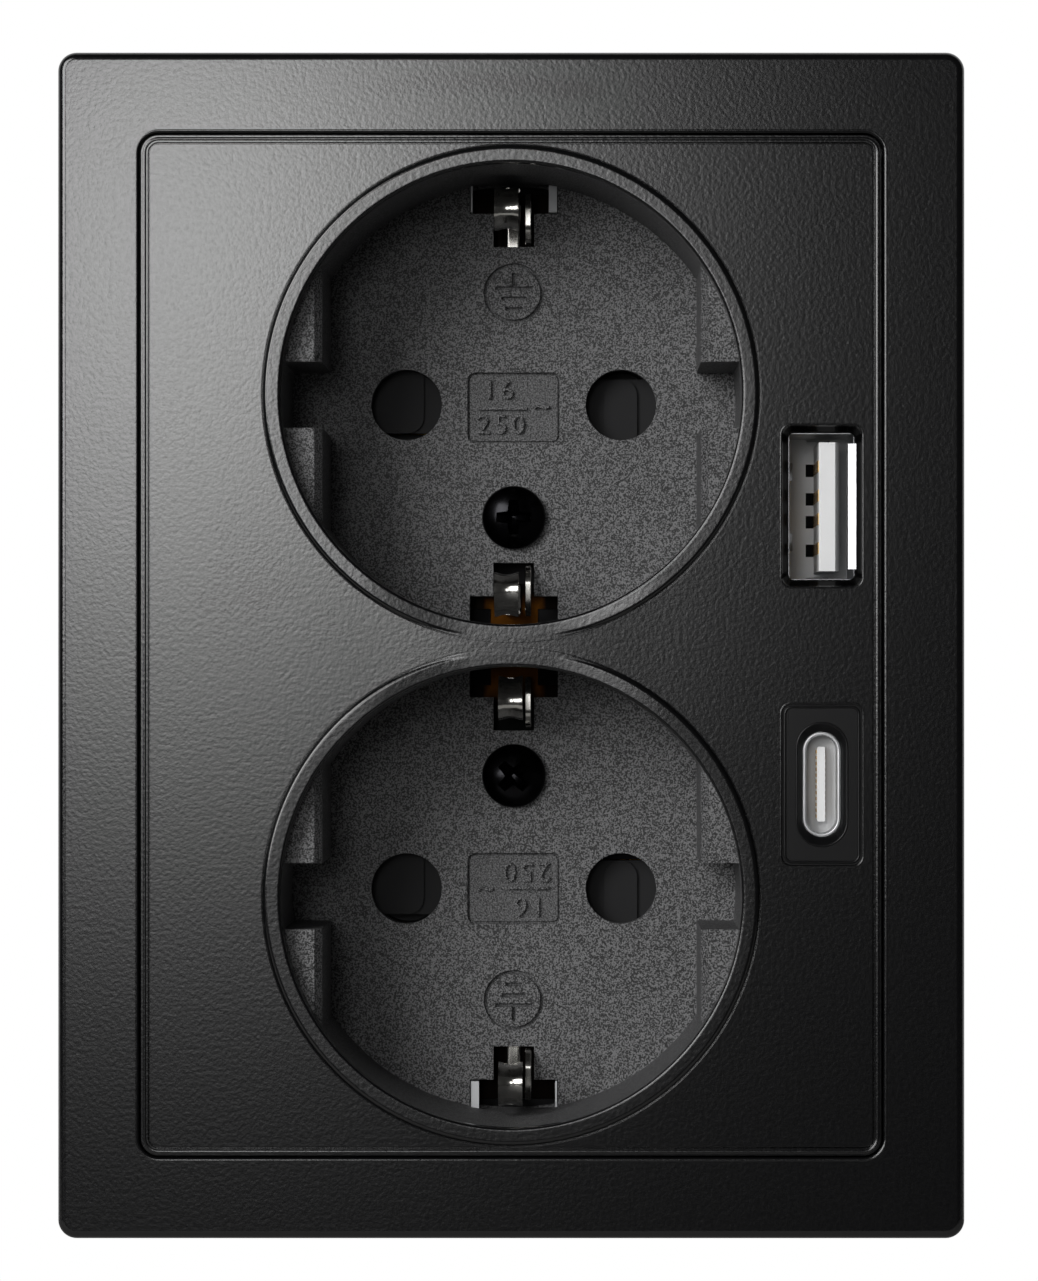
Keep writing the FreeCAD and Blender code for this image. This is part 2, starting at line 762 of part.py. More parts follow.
def make_rear_cover():
    cover = disc(base_radius, base_depth, cover_back_y)
    cutters = []
    for pole in ("live", "neutral", "earth"):
        spread = earth_entry_spread if pole == "earth" else wire_entry_spread
        for side in (1, -1):
            hole = disc(wire_entry_radius, base_depth - past, cover_back_y + past,
                        bar_outer_x + wire_entry_offset, side * spread)
            cutters.append(clamp_place(hole, pole))
        stem_slot = block(bar_outer_x + button_stem_inner - button_gap,
                          bar_outer_x + button_stem_outer + button_gap,
                          base_depth - past, cover_back_y + past,
                          -button_stem_half_width - button_gap, button_stem_half_width + button_gap)
        cutters.append(clamp_place(stem_slot, pole))
    for side in (1, -1):
        cutters.append(disc(cover_screw_radius + screw_clearance, base_depth - past, cover_back_y + past,
                            0, side * cover_screw_z))
    return cover.cut(cutters)


def make_cover_screw(z):
    head_back_y = cover_back_y + cover_screw_head_height
    head = disc(cover_screw_head_radius, cover_back_y, head_back_y, 0, z)
    head = head.makeChamfer(screw_head_dome, edges_at(head, head_back_y))
    shank = disc(cover_screw_radius, cover_back_y - cover_screw_length, cover_back_y, 0, z)
    recess = block(-cover_screw_head_radius / 2, cover_screw_head_radius / 2,
                   head_back_y - recess_depth / 2, head_back_y + past,
                   z - recess_width / 2, z + recess_width / 2)
    recess = recess.fuse(turned(recess, 90, z))
    return head.fuse(shank).cut(recess).removeSplitter()


# Current-carrying parts

def make_fork(z):
    # A pin fork seen from above: two bowed leaves joined by a web at the back.
    half_back = fork_back_gap / 2 + contact_thickness / 2
    half_grip = fork_grip_gap / 2 + contact_thickness / 2
    half_mouth = fork_mouth_gap / 2 + contact_thickness / 2
    web_y = fork_web_y + contact_thickness / 2
    side_of_fork = []
    for side in (1, -1):
        side_of_fork.append([(pin_x + side * half_mouth, fork_tip_y, z),
                             (pin_x + side * half_grip, fork_grip_y, z),
                             (pin_x + side * half_back, fork_grip_y + fork_bow_length, z),
                             (pin_x + side * half_back, web_y, z)])
    points = side_of_fork[0] + side_of_fork[1][::-1]
    return bent_strip(points, contact_thickness, contact_thickness, Vec(0, 0, 1),
                      -fork_height / 2, fork_height / 2)


def make_contact_bar(side):
    solids = [make_fork(cup_z), make_fork(-cup_z)]
    solids.append(block(bar_inner_x, bar_outer_x, bar_front_y + past, fork_web_y - contact_thickness,
                        -cup_z, cup_z))
    bar = joined(solids)
    return bar if side > 0 else bar.mirror(Vec(0, 0, 0), Vec(1, 0, 0))


def make_earth_strap():
    return strap_blank(0, strap_front_y, strap_back_y)


def make_earth_clip(cup_side, side):
    # A loop of spring strip: a wide leg behind, a narrow nose that meets the plug, and a low cheek beside it.
    z = cup_side * cup_z
    leg_z = z + side * clip_leg_offset
    nose_z = z + side * clip_nose_offset
    back_z = z + side * (clip_leg_offset - clip_top_width)
    foot_y = strap_front_y - clip_thickness / 2
    leg = bent_strip([(0, foot_y, z + side * (clip_leg_offset - clip_foot_length)),
                      (0, foot_y, leg_z),
                      (0, clip_top_y, leg_z)],
                     clip_bend_radius, clip_thickness, Vec(1, 0, 0), -clip_leg_width / 2, clip_leg_width / 2)
    shift = clip_upper_nose_shift if cup_side > 0 else 0
    nose = bent_strip([(0, clip_top_y + clip_joint_length, leg_z), (0, clip_top_y, leg_z),
                       (0, clip_top_y, back_z), (0, clip_nose_y, nose_z), (0, clip_end_y, back_z)],
                      clip_bend_radius / 2, clip_thickness, Vec(1, 0, 0),
                      shift - clip_nose_width / 2, shift + clip_nose_width / 2)
    cheek_low, cheek_high = sorted((z + side * clip_cheek_offset, leg_z))
    cheek = block(clip_cheek_start, clip_cheek_end, clip_cheek_top_y, clip_cheek_foot_y,
                  cheek_low, cheek_high)
    return joined([leg, nose, cheek])


def make_earth_terminal():
    half = strap_middle_width / 2
    shank = block(-half, half, strap_back_y, clamp_bend_y, -earth_tab_thickness, 0)
    head = block(-earth_tab_half_width, earth_tab_half_width, clamp_bend_y - earth_tab_overlap, fork_back_y,
                 -earth_tab_thickness, 0)
    return joined([shank, head])


# Wire clamps and their buttons

def blade_limits(pole):
    if pole == "earth":
        return earth_blade_inner, earth_tab_half_width - earth_blade_inset
    return blade_inner, blade_outer


def make_clamp_spring(pole):
    inner, outer = blade_limits(pole)
    back_x = bar_outer_x + clamp_back_offset
    tip_x = bar_outer_x + clamp_tip_offset
    side = Vec(0, 0, 1)
    back = bent_strip([(back_x, clamp_back_end_y, 0), (back_x, clamp_bend_y, 0), (tip_x, clamp_tip_y, 0)],
                      clamp_bend_radius, clamp_thickness, side, -outer, outer)
    slit = block(bar_outer_x, back_x - clamp_bend_radius,
                 clamp_bend_y + clamp_slit_start, clamp_back_end_y, -inner, inner)
    return clamp_place(back.cut(slit), pole)


def make_release_button(pole):
    outer = blade_limits(pole)[1]
    x0 = bar_outer_x + button_stem_inner
    x1 = bar_outer_x + button_stem_outer
    foot = block(x0, x1, button_foot_y, button_foot_y + button_foot_thickness, -outer, outer)
    stem = block(x0, x1, button_foot_y, cover_back_y + button_proud,
                 -button_stem_half_width, button_stem_half_width)
    return clamp_place(joined([foot, stem]), pole)


# USB module

def make_usb_housing():
    top = board_half_height + housing_board_gap + housing_wall
    back = block(housing_left, housing_right, -support_thickness - housing_wall, -support_thickness,
                 -top, top)
    right = block(housing_right - housing_wall, housing_right, housing_front_y, -support_thickness, -top, top)
    solids = [back, right]
    for side in (1, -1):
        z0, z1 = sorted((side * top, side * (top - housing_wall)))
        solids.append(block(housing_left, housing_right, housing_front_y, -support_thickness, z0, z1))
    housing = joined(solids)
    cutters = [disc(driver_hole_radius, -support_thickness - past, 0, box_screw_spacing / 2, 0)]
    for side in (1, -1):
        cutters.append(lead_slot(side, -support_thickness - past, 0))
    return housing.cut(cutters)


def make_usb_circuit_board():
    return block(board_left, board_right, board_front_y, -support_thickness - housing_wall,
                 -board_half_height, board_half_height)


def make_usb_transformer():
    low_z = -board_half_height + transformer_edge_gap
    core = block(board_right, board_right + transformer_height, transformer_front_y, transformer_back_y,
                 low_z, low_z + transformer_width)
    window = block(board_right - past, board_right + transformer_height - core_yoke,
                   transformer_front_y + core_yoke,
                   transformer_back_y - core_yoke, low_z - past, low_z + transformer_width + past)
    bobbin = block(board_right, board_right + transformer_height - core_yoke, transformer_front_y + core_yoke,
                   transformer_back_y - core_yoke, low_z - bobbin_overhang,
                   low_z + transformer_width + bobbin_overhang)
    return joined([core.cut(window), bobbin])


def make_usb_capacitor():
    can = disc(can_radius, transformer_front_y, transformer_back_y, board_right + can_radius + can_gap, can_z)
    return can.makeChamfer(can_chamfer, edges_at(can, transformer_front_y))


def make_usb_controller_chip():
    return block(board_right, board_right + chip_thickness, chip_back_y - chip_size, chip_back_y,
                 -chip_size / 2, chip_size / 2)


def make_usb_a_shell():
    front_y = face_y + usb_a_front_depth
    outer = rounded_slab(usb_a_inner_width + 2 * usb_a_wall, usb_a_inner_height + 2 * usb_a_wall,
                         usb_a_inner_radius + usb_a_wall,
                         front_y, front_y + usb_a_length, usb_x, usb_z)
    inner = rounded_slab(usb_a_inner_width, usb_a_inner_height, usb_a_inner_radius,
                         front_y - past, front_y + usb_a_length - usb_a_wall, usb_x, usb_z)
    return outer.cut(inner)


def make_usb_a_tongue():
    front_y = face_y + usb_a_front_depth
    back_y = front_y + usb_a_length - usb_a_wall
    base = rounded_slab(usb_a_inner_width, usb_a_inner_height, usb_a_inner_radius,
                        back_y - usb_a_back_block, back_y, usb_x, usb_z)
    middle = usb_x + usb_a_tongue_shift
    tongue = block(middle - usb_a_tongue_width / 2, middle + usb_a_tongue_width / 2,
                   front_y + usb_a_tongue_setback, back_y - usb_a_back_block,
                   usb_z - usb_a_tongue_height / 2, usb_z + usb_a_tongue_height / 2)
    return joined([base, tongue])


def make_usb_a_contacts():
    front_y = face_y + usb_a_front_depth + usb_a_tongue_setback + usb_a_contact_setback
    back_y = face_y + usb_a_front_depth + usb_a_length - usb_a_wall - usb_a_back_block
    side_x = usb_x + usb_a_tongue_shift - usb_a_tongue_width / 2
    return [block(side_x - usb_contact_thickness, side_x, front_y, back_y,
                  usb_z + offset - usb_a_contact_width / 2, usb_z + offset + usb_a_contact_width / 2)
            for offset in usb_a_contact_offsets]


def oval_slab(width, height, y0, y1, x, z):
    return rounded_slab(width, height, width / 2 - 1e-3, y0, y1, x, z)


def make_usb_c_bezel():
    front_y = face_y + bezel_setback
    bezel = rounded_slab(usb_opening_width - 2 * bezel_clearance, usb_opening_height - 2 * bezel_clearance,
                         usb_opening_radius - bezel_clearance, front_y, front_y + bezel_thickness,
                         usb_x, -usb_z)
    shell_width = usb_c_width + 2 * bezel_clearance
    shell_height = usb_c_height + 2 * bezel_clearance
    funnel = tapered_slab((bezel_hole_width, bezel_hole_height, bezel_hole_width / 2 - 1e-3),
                          (shell_width, shell_height, shell_width / 2 - 1e-3),
                          front_y, face_y + usb_c_front_depth, usb_x, -usb_z)
    hole = oval_slab(shell_width, shell_height, face_y + usb_c_front_depth,
                     front_y + bezel_thickness + past, usb_x, -usb_z)
    return bezel.cut(funnel).cut(hole)


def make_usb_c_shell():
    front_y = face_y + usb_c_front_depth
    outer = oval_slab(usb_c_width, usb_c_height, front_y, front_y + usb_c_length, usb_x, -usb_z)
    inner = oval_slab(usb_c_width - 2 * usb_c_wall, usb_c_height - 2 * usb_c_wall,
                      front_y - past, front_y + usb_c_length - usb_c_wall, usb_x, -usb_z)
    solids = [outer.cut(inner)]
    for leg_y in (front_y + usb_c_leg_start, front_y + usb_c_length - usb_c_leg_width):
        for side in (1, -1):
            z = -usb_z + side * usb_c_leg_offset
            solids.append(block(board_right, usb_x - usb_c_width / 2 + usb_c_wall / 2, leg_y,
                                leg_y + usb_c_leg_width, z - usb_c_leg_width / 2, z + usb_c_leg_width / 2))
    return joined(solids)


def make_usb_c_tongue():
    front_y = face_y + usb_c_front_depth
    back_y = front_y + usb_c_length - usb_c_wall
    base = oval_slab(usb_c_width - 2 * usb_c_wall, usb_c_height - 2 * usb_c_wall,
                     back_y - usb_c_back_block, back_y, usb_x, -usb_z)
    tongue = block(usb_x - usb_c_tongue_width / 2, usb_x + usb_c_tongue_width / 2,
                   front_y + usb_c_tongue_setback, back_y - usb_c_back_block,
                   -usb_z - usb_c_tongue_height / 2, -usb_z + usb_c_tongue_height / 2)
    return joined([base, tongue])


def make_usb_c_contacts():
    front_y = face_y + usb_c_front_depth + usb_c_tongue_setback + usb_c_contact_setback
    back_y = face_y + usb_c_front_depth + usb_c_length - usb_c_wall - usb_c_back_block
    contacts = []
    for side in (1, -1):
        x0, x1 = sorted((usb_x + side * usb_c_tongue_width / 2,
                         usb_x + side * (usb_c_tongue_width / 2 + usb_contact_thickness / 3)))
        for index in range(usb_c_contact_count):
            z = -usb_z + (index - (usb_c_contact_count - 1) / 2) * usb_c_contact_pitch
            contacts.append(block(x0, x1, front_y, back_y,
                                  z - usb_c_contact_width / 2, z + usb_c_contact_width / 2))
    return contacts


def make_usb_lead(side, far_x):
    # A flat strip from the circuit board back through the base to the rear edge of its contact bar.
    z = side * lead_z
    points = [(board_right, lead_start_y, z), (lead_x, lead_start_y, z), (lead_x, lead_run_y, z),
              (far_x, lead_run_y, z), (far_x, fork_web_y - contact_thickness, z)]
    return bent_strip(points, lead_bend_radius, lead_thickness, Vec(0, 0, 1), -lead_width / 2, lead_width / 2)


save("outer_frame", make_outer_frame())
save("centre_plate", make_centre_plate())
save("plate_screws", make_plate_screw(screw_z, 0), make_plate_screw(-screw_z, 45))
save("threaded_inserts", make_threaded_insert(screw_z), make_threaded_insert(-screw_z))
save("support_plate", make_support_plate())
save("base_rivets", make_rivet(rivet_x), make_rivet(-rivet_x))
save("shutter_carrier", make_shutter_carrier())
save("contact_base", make_contact_base())
save("rear_cover", make_rear_cover())
save("cover_screws", make_cover_screw(cover_screw_z), make_cover_screw(-cover_screw_z))
for cup_name, cup_side in (("upper", 1), ("lower", -1)):
    save(cup_name + "_shutter", make_shutter(cup_side * cup_z))
    save(cup_name + "_shutter_spring", make_shutter_spring(cup_side * cup_z))
    save(cup_name + "_outer_earth_clip", make_earth_clip(cup_side, cup_side))
    save(cup_name + "_inner_earth_clip", make_earth_clip(cup_side, -cup_side))
save("live_contact_bar", make_contact_bar(1))
save("neutral_contact_bar", make_contact_bar(-1))
save("earth_strap", make_earth_strap())
save("earth_terminal", make_earth_terminal())
for pole_name in ("live", "neutral", "earth"):
    save(pole_name + "_clamp_spring", make_clamp_spring(pole_name))
    save(pole_name + "_release_button", make_release_button(pole_name))
save("usb_housing", make_usb_housing())
save("usb_circuit_board", make_usb_circuit_board())
save("usb_transformer", make_usb_transformer())
save("usb_capacitor", make_usb_capacitor())
save("usb_controller_chip", make_usb_controller_chip())
save("usb_a_shell", make_usb_a_shell())
save("usb_a_tongue", make_usb_a_tongue())
save("usb_a_contacts", *make_usb_a_contacts())
save("usb_c_bezel", make_usb_c_bezel())
save("usb_c_shell", make_usb_c_shell())
save("usb_c_tongue", make_usb_c_tongue())
save("usb_c_contacts", *make_usb_c_contacts())
save("usb_live_lead", make_usb_lead(1, (bar_inner_x + bar_outer_x) / 2))
save("usb_neutral_lead", make_usb_lead(-1, -(bar_inner_x + bar_outer_x) / 2))
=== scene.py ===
import bpy
import bmesh
import json
import math
from mathutils import Vector, Matrix


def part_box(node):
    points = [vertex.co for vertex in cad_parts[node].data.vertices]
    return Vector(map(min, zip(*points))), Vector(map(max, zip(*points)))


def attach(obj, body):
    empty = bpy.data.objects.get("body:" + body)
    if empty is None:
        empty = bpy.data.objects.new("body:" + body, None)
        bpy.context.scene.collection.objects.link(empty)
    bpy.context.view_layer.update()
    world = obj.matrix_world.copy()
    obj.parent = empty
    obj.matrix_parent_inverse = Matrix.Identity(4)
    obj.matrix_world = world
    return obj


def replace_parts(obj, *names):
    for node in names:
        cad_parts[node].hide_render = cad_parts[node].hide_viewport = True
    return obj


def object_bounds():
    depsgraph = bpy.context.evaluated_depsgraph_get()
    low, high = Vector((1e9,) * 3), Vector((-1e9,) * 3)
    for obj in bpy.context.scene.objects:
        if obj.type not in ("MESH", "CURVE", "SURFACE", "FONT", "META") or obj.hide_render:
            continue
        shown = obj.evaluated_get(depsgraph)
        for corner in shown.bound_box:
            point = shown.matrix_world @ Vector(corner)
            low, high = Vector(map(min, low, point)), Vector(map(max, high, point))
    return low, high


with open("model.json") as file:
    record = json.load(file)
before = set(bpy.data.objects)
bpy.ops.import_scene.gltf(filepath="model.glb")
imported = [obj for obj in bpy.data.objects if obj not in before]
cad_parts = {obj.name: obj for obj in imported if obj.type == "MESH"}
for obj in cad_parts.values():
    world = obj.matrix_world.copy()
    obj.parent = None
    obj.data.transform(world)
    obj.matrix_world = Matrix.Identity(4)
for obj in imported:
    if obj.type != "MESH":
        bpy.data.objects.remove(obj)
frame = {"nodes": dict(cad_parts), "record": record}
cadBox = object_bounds()
mm = 0.001
nodes = frame["nodes"]
print("frame loaded:", len(nodes), "nodes")


# Sizes that the dressing shares with the socket, read from the frame

plateLow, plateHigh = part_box("centre_plate")
faceY = plateLow.y + 0.4 * mm
floorY = faceY + 17.5 * mm
shutterLow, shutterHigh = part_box("upper_shutter")
cupZ = (shutterLow.z + shutterHigh.z) / 2
usbALow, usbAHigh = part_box("usb_a_shell")
usbX = (usbALow.x + usbAHigh.x) / 2
usbZ = (usbALow.z + usbAHigh.z) / 2


# Small helpers

def hexColour(text):
    channels = [int(text[i:i + 2], 16) / 255 for i in (1, 3, 5)]
    linear = [c / 12.92 if c <= 0.04045 else ((c + 0.055) / 1.055) ** 2.4 for c in channels]
    return (*linear, 1.0)


def linkInputs(tree, node, links):
    for name, (source, output) in links.items():
        tree.links.new(source.outputs[output], node.inputs[name])


def addNode(tree, kind, settings=None, inputs=None, links=None):
    node = tree.nodes.new(kind)
    for name, value in (settings or {}).items():
        setattr(node, name, value)
    for name, value in (inputs or {}).items():
        node.inputs[name].default_value = value
    linkInputs(tree, node, links or {})
    return node


def startMaterial(name):
    material = bpy.data.materials.new(name)
    material.use_nodes = True
    tree = material.node_tree
    shader = tree.nodes["Principled BSDF"]
    place = (addNode(tree, "ShaderNodeTexCoord"), "Object")
    return material, tree, shader, place


def newObject(name, data):
    thing = bpy.data.objects.new(name, data)
    bpy.context.scene.collection.objects.link(thing)
    return thing


def meshPiece(name, vertices, faces, smooth=True):
    mesh = bpy.data.meshes.new(name)
    mesh.from_pydata(vertices, [], faces)
    mesh.validate()
    mesh.polygons.foreach_set("use_smooth", [smooth] * len(mesh.polygons))
    return newObject(name, mesh)


def dress(piece, slot, material=None):
    piece.data.materials.clear()
    piece.data.materials.append(material or materials[slot])
    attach(piece, "socket")
    return piece


def welded(piece, distance):
    # Merges the vertices that lie closer together than the distance in mm.
    shape = bmesh.new()
    shape.from_mesh(piece.data)
    bmesh.ops.remove_doubles(shape, verts=shape.verts, dist=distance * mm)
    shape.to_mesh(piece.data)
    shape.free()
    return piece


def mergedCopy(node, name):
    # A welded copy of a CAD node without its stored normals, so that it can be cut and shaded afresh.
    piece = newObject(name, nodes[node].data.copy())
    stored = piece.data.attributes.get("custom_normal")
    if stored:
        piece.data.attributes.remove(stored)
    return welded(piece, 0.002)


def evaluatedMesh(thing):
    graph = bpy.context.evaluated_depsgraph_get()
    return bpy.data.meshes.new_from_object(thing.evaluated_get(graph))


def finished(piece):
    # The evaluated piece as a plain mesh with no modifiers left on it.
    mesh = evaluatedMesh(piece)
    piece.modifiers.clear()
    piece.data = mesh
    return piece


def smoothByAngle(piece, degrees=28):
    # Rounded faces shade smoothly; faces square to the front stay flat right up to their edges.
    for polygon in piece.data.polygons:
        polygon.use_smooth = abs(polygon.normal.y) < 0.9999
    piece.data.set_sharp_from_angle(angle=math.radians(degrees))
    return piece


def combined(piece, tool, operation="DIFFERENCE"):
    # The piece with the tool cut out of it or joined to it.
    step = piece.modifiers.new("combine", "BOOLEAN")
    step.operation, step.object, step.solver = operation, tool, "EXACT"
    finished(piece)
    bpy.data.objects.remove(tool)
    return piece


def newShape():
    return {"vertices": [], "faces": []}


def addGrid(shape, points, closedRows=False, closedColumns=False):
    # points is a list of rows in mm; neighbouring rows are joined by quads.
    start = len(shape["vertices"])
    rows, columns = len(points), len(points[0])
    shape["vertices"] += [tuple(c * mm for c in point) for row in points for point in row]
    for i in range(rows if closedRows else rows - 1):
        for j in range(columns if closedColumns else columns - 1):
            below, right = (i + 1) % rows, (j + 1) % columns
            shape["faces"].append(tuple(start + a * columns + b
                                        for a, b in ((i, j), (i, right), (below, right), (below, j))))
    return start


def addLoft(shape, outlines):
    # A closed solid through outlines that have the same number of points.
    start, count = addGrid(shape, outlines, closedColumns=True), len(outlines[0])
    last = start + count * (len(outlines) - 1)
    shape["faces"] += [tuple(range(start, start + count)), tuple(range(last + count - 1, last - 1, -1))]


def addPrism(shape, outline, z0, z1):
    # An upright prism on an outline of (x, y) points.
    addLoft(shape, [[(x, y, z) for x, y in outline] for z in (z0, z1)])


def addSlab(shape, outline, front, back):
    # A slab on an outline of points that begin with x and z.
    addLoft(shape, [[(point[0], y, point[1]) for point in outline] for y in (front, back)])


def addBlock(shape, x, y, z):
    addSlab(shape, [(x[0], z[0]), (x[1], z[0]), (x[1], z[1]), (x[0], z[1])], *y)


def roundedLoop(width, height, radius, centre=(0, 0), steps=8):
    # Points of a rounded rectangle seen from the front, each with its outward direction.
    loop = []
    for corner, (sx, sz) in enumerate(((1, 1), (-1, 1), (-1, -1), (1, -1))):
        for i in range(steps + 1):
            angle = math.pi / 2 * (corner + i / steps)
            way = (math.cos(angle), math.sin(angle))
            loop.append((centre[0] + sx * (width / 2 - radius) + radius * way[0],
                         centre[1] + sz * (height / 2 - radius) + radius * way[1], way))
    return loop


def addBand(shape, loop, inner, outer, front, back):
    # A band round the loop; inner and outer are measured outwards from it.
    profile = ((inner, front), (outer, front), (outer, back), (inner, back))
    rows = [[(x + way[0] * out, y, z + way[1] * out) for out, y in profile] for x, z, way in loop]
    addGrid(shape, rows, closedRows=True, closedColumns=True)


def pieceFrom(name, shape, smooth=False):
    piece = meshPiece(name, shape["vertices"], shape["faces"], smooth)
    mesh = bmesh.new()
    mesh.from_mesh(piece.data)
    bmesh.ops.recalc_face_normals(mesh, faces=mesh.faces)
    mesh.to_mesh(piece.data)
    mesh.free()
    return piece


def nodeTree(name, kinds):
    # An empty Geometry Nodes tree with named inputs of several kinds, a material and one geometry output.
    tree = bpy.data.node_groups.new(name, "GeometryNodeTree")
    for kind, labels in {**kinds, "Material": ("Material",)}.items():
        for label in labels:
            tree.interface.new_socket(name=label, in_out="INPUT", socket_type="NodeSocket" + kind)
    tree.interface.new_socket(name="Geometry", in_out="OUTPUT", socket_type="NodeSocketGeometry")
    return tree, addNode(tree, "NodeGroupInput")


def endTree(tree, start, shape):
    # Every tree ends in plain geometry with its material on it.
    real = addNode(tree, "GeometryNodeRealizeInstances", links={"Geometry": (shape, 0)})
    dressed = addNode(tree, "GeometryNodeSetMaterial",
                      links={"Geometry": (real, 0), "Material": (start, "Material")})
    addNode(tree, "NodeGroupOutput", links={"Geometry": (dressed, "Geometry")})
    return tree


def trimTree():
    # A round bead laid along a rounded rectangle.
    tree, start = nodeTree("beadAlongRoundedRectangle",
                           {"Float": ("Width", "Height", "Corner", "Bead Radius"),
                            "Int": ("Bead Sides", "Corner Steps")})
    outline = addNode(tree, "GeometryNodeCurvePrimitiveQuadrilateral",
                      links={"Width": (start, "Width"), "Height": (start, "Height")})
    rounded = addNode(tree, "GeometryNodeFilletCurve", {"mode": "POLY"},
                      links={"Curve": (outline, "Curve"), "Radius": (start, "Corner"),
                             "Count": (start, "Corner Steps")})
    upright = addNode(tree, "GeometryNodeTransform", inputs={"Rotation": (math.pi / 2, 0, 0)},
                      links={"Geometry": (rounded, "Curve")})
    profile = addNode(tree, "GeometryNodeCurvePrimitiveCircle",
                      links={"Radius": (start, "Bead Radius"), "Resolution": (start, "Bead Sides")})
    bead = addNode(tree, "GeometryNodeCurveToMesh",
                   links={"Curve": (upright, "Geometry"), "Profile Curve": (profile, "Curve")})
    return endTree(tree, start, bead)


def threadTree():
    # A ridge wound round a shank.
    tree, start = nodeTree("threadRidge", {"Float": ("Turns", "Radius", "Length", "Ridge")})
    helix = addNode(tree, "GeometryNodeCurveSpiral", inputs={"Resolution": 24},
                    links={"Rotations": (start, "Turns"), "Start Radius": (start, "Radius"),
                           "End Radius": (start, "Radius"), "Height": (start, "Length")})
    inward = addNode(tree, "GeometryNodeTransform", inputs={"Rotation": (-math.pi / 2, 0, 0)},
                     links={"Geometry": (helix, "Curve")})
    profile = addNode(tree, "GeometryNodeCurvePrimitiveCircle", inputs={"Resolution": 6},
                      links={"Radius": (start, "Ridge")})
    ridge = addNode(tree, "GeometryNodeCurveToMesh", inputs={"Fill Caps": True},
                    links={"Curve": (inward, "Geometry"), "Profile Curve": (profile, "Curve")})
    return endTree(tree, start, ridge)


def rowTree():
    # Equal blocks in a row.
    tree, start = nodeTree("rowOfBlocks", {"Int": ("Count",), "Vector": ("Start", "Step", "Size")})
    line = addNode(tree, "GeometryNodeMeshLine",
                   links={"Count": (start, "Count"), "Start Location": (start, "Start"),
                          "Offset": (start, "Step")})
    block = addNode(tree, "GeometryNodeMeshCube", links={"Size": (start, "Size")})
    row = addNode(tree, "GeometryNodeInstanceOnPoints",
                  links={"Points": (line, "Mesh"), "Instance": (block, "Mesh")})
    return endTree(tree, start, row)


def grown(tree, name, values):
    # The mesh that a tree gives for these inputs.
    holder = newObject(name, bpy.data.meshes.new(name))
    step = holder.modifiers.new("grow", "NODES")
    step.node_group = tree
    for item in tree.interface.items_tree:
        if item.in_out == "INPUT":
            step[item.identifier] = values[item.name]
    return finished(holder)


def moved(piece, x, y, z):
    # Shifts the mesh itself, so that the piece stays at the origin; the distances are in mm.
    piece.data.transform(Matrix.Translation((x * mm, y * mm, z * mm)))
    return piece


def joinedAs(name, pieces):
    # One mesh out of several finished pieces.
    mesh = bpy.data.meshes.new(name)
    whole = bmesh.new()
    for piece in pieces:
        whole.from_mesh(piece.data)
        bpy.data.objects.remove(piece)
    whole.to_mesh(mesh)
    whole.free()
    return newObject(name, mesh)


# Materials

blackPlastic = {
    "colour": "#070708",
    "paler": "#0c0c0d",
    "paintedGlintDark": "#0d0d0e",  # painted glints: the spark-eroded floors are coloured between these two, for their sparkle
    "paintedGlintPale": "#727273",
    "paintedGlintBand": (0.43, 0.59),       # the share of the noise over which dark turns to pale
    "portShadeColour": "#050505",         # painted shade: the walls of the port openings, which no light reaches, are coloured near black with little shine
    "portShine": 0.03,
    "portReach": (4.2, 4.4),         # mm to each side of the ports' middle
    "portStart": (0.1, 0.4),         # mm below the face
    "erodedStart": (0.9, 1.5),       # mm below the face, where the coarser grain and its painted glints begin
    "panelStart": (0.08, 0.14),      # mm below the cup floor, where the rating panels are smoother
    "panelGlintShare": 0.45,              # the share of the painted glints that the panels keep
    "reflectiveness": 1.58,  # index of refraction of polycarbonate
    "roughness": 0.17,
    "roughnessSpread": 0.03,
    "floorRougher": 0.42,    # the spark-eroded floors scatter more
    "fineGrain": 0.36,       # mm, the moulded satin grain of the frame and plate
    "fineDepth": 0.0095,     # mm
    "floorGrain": 0.13,      # mm, the spark-eroded grain of the cup floors, drawn coarser than it is
    "floorDepth": 0.06,      # mm
    "edgeRound": 0.10,       # mm, moulded edges are never quite sharp
}


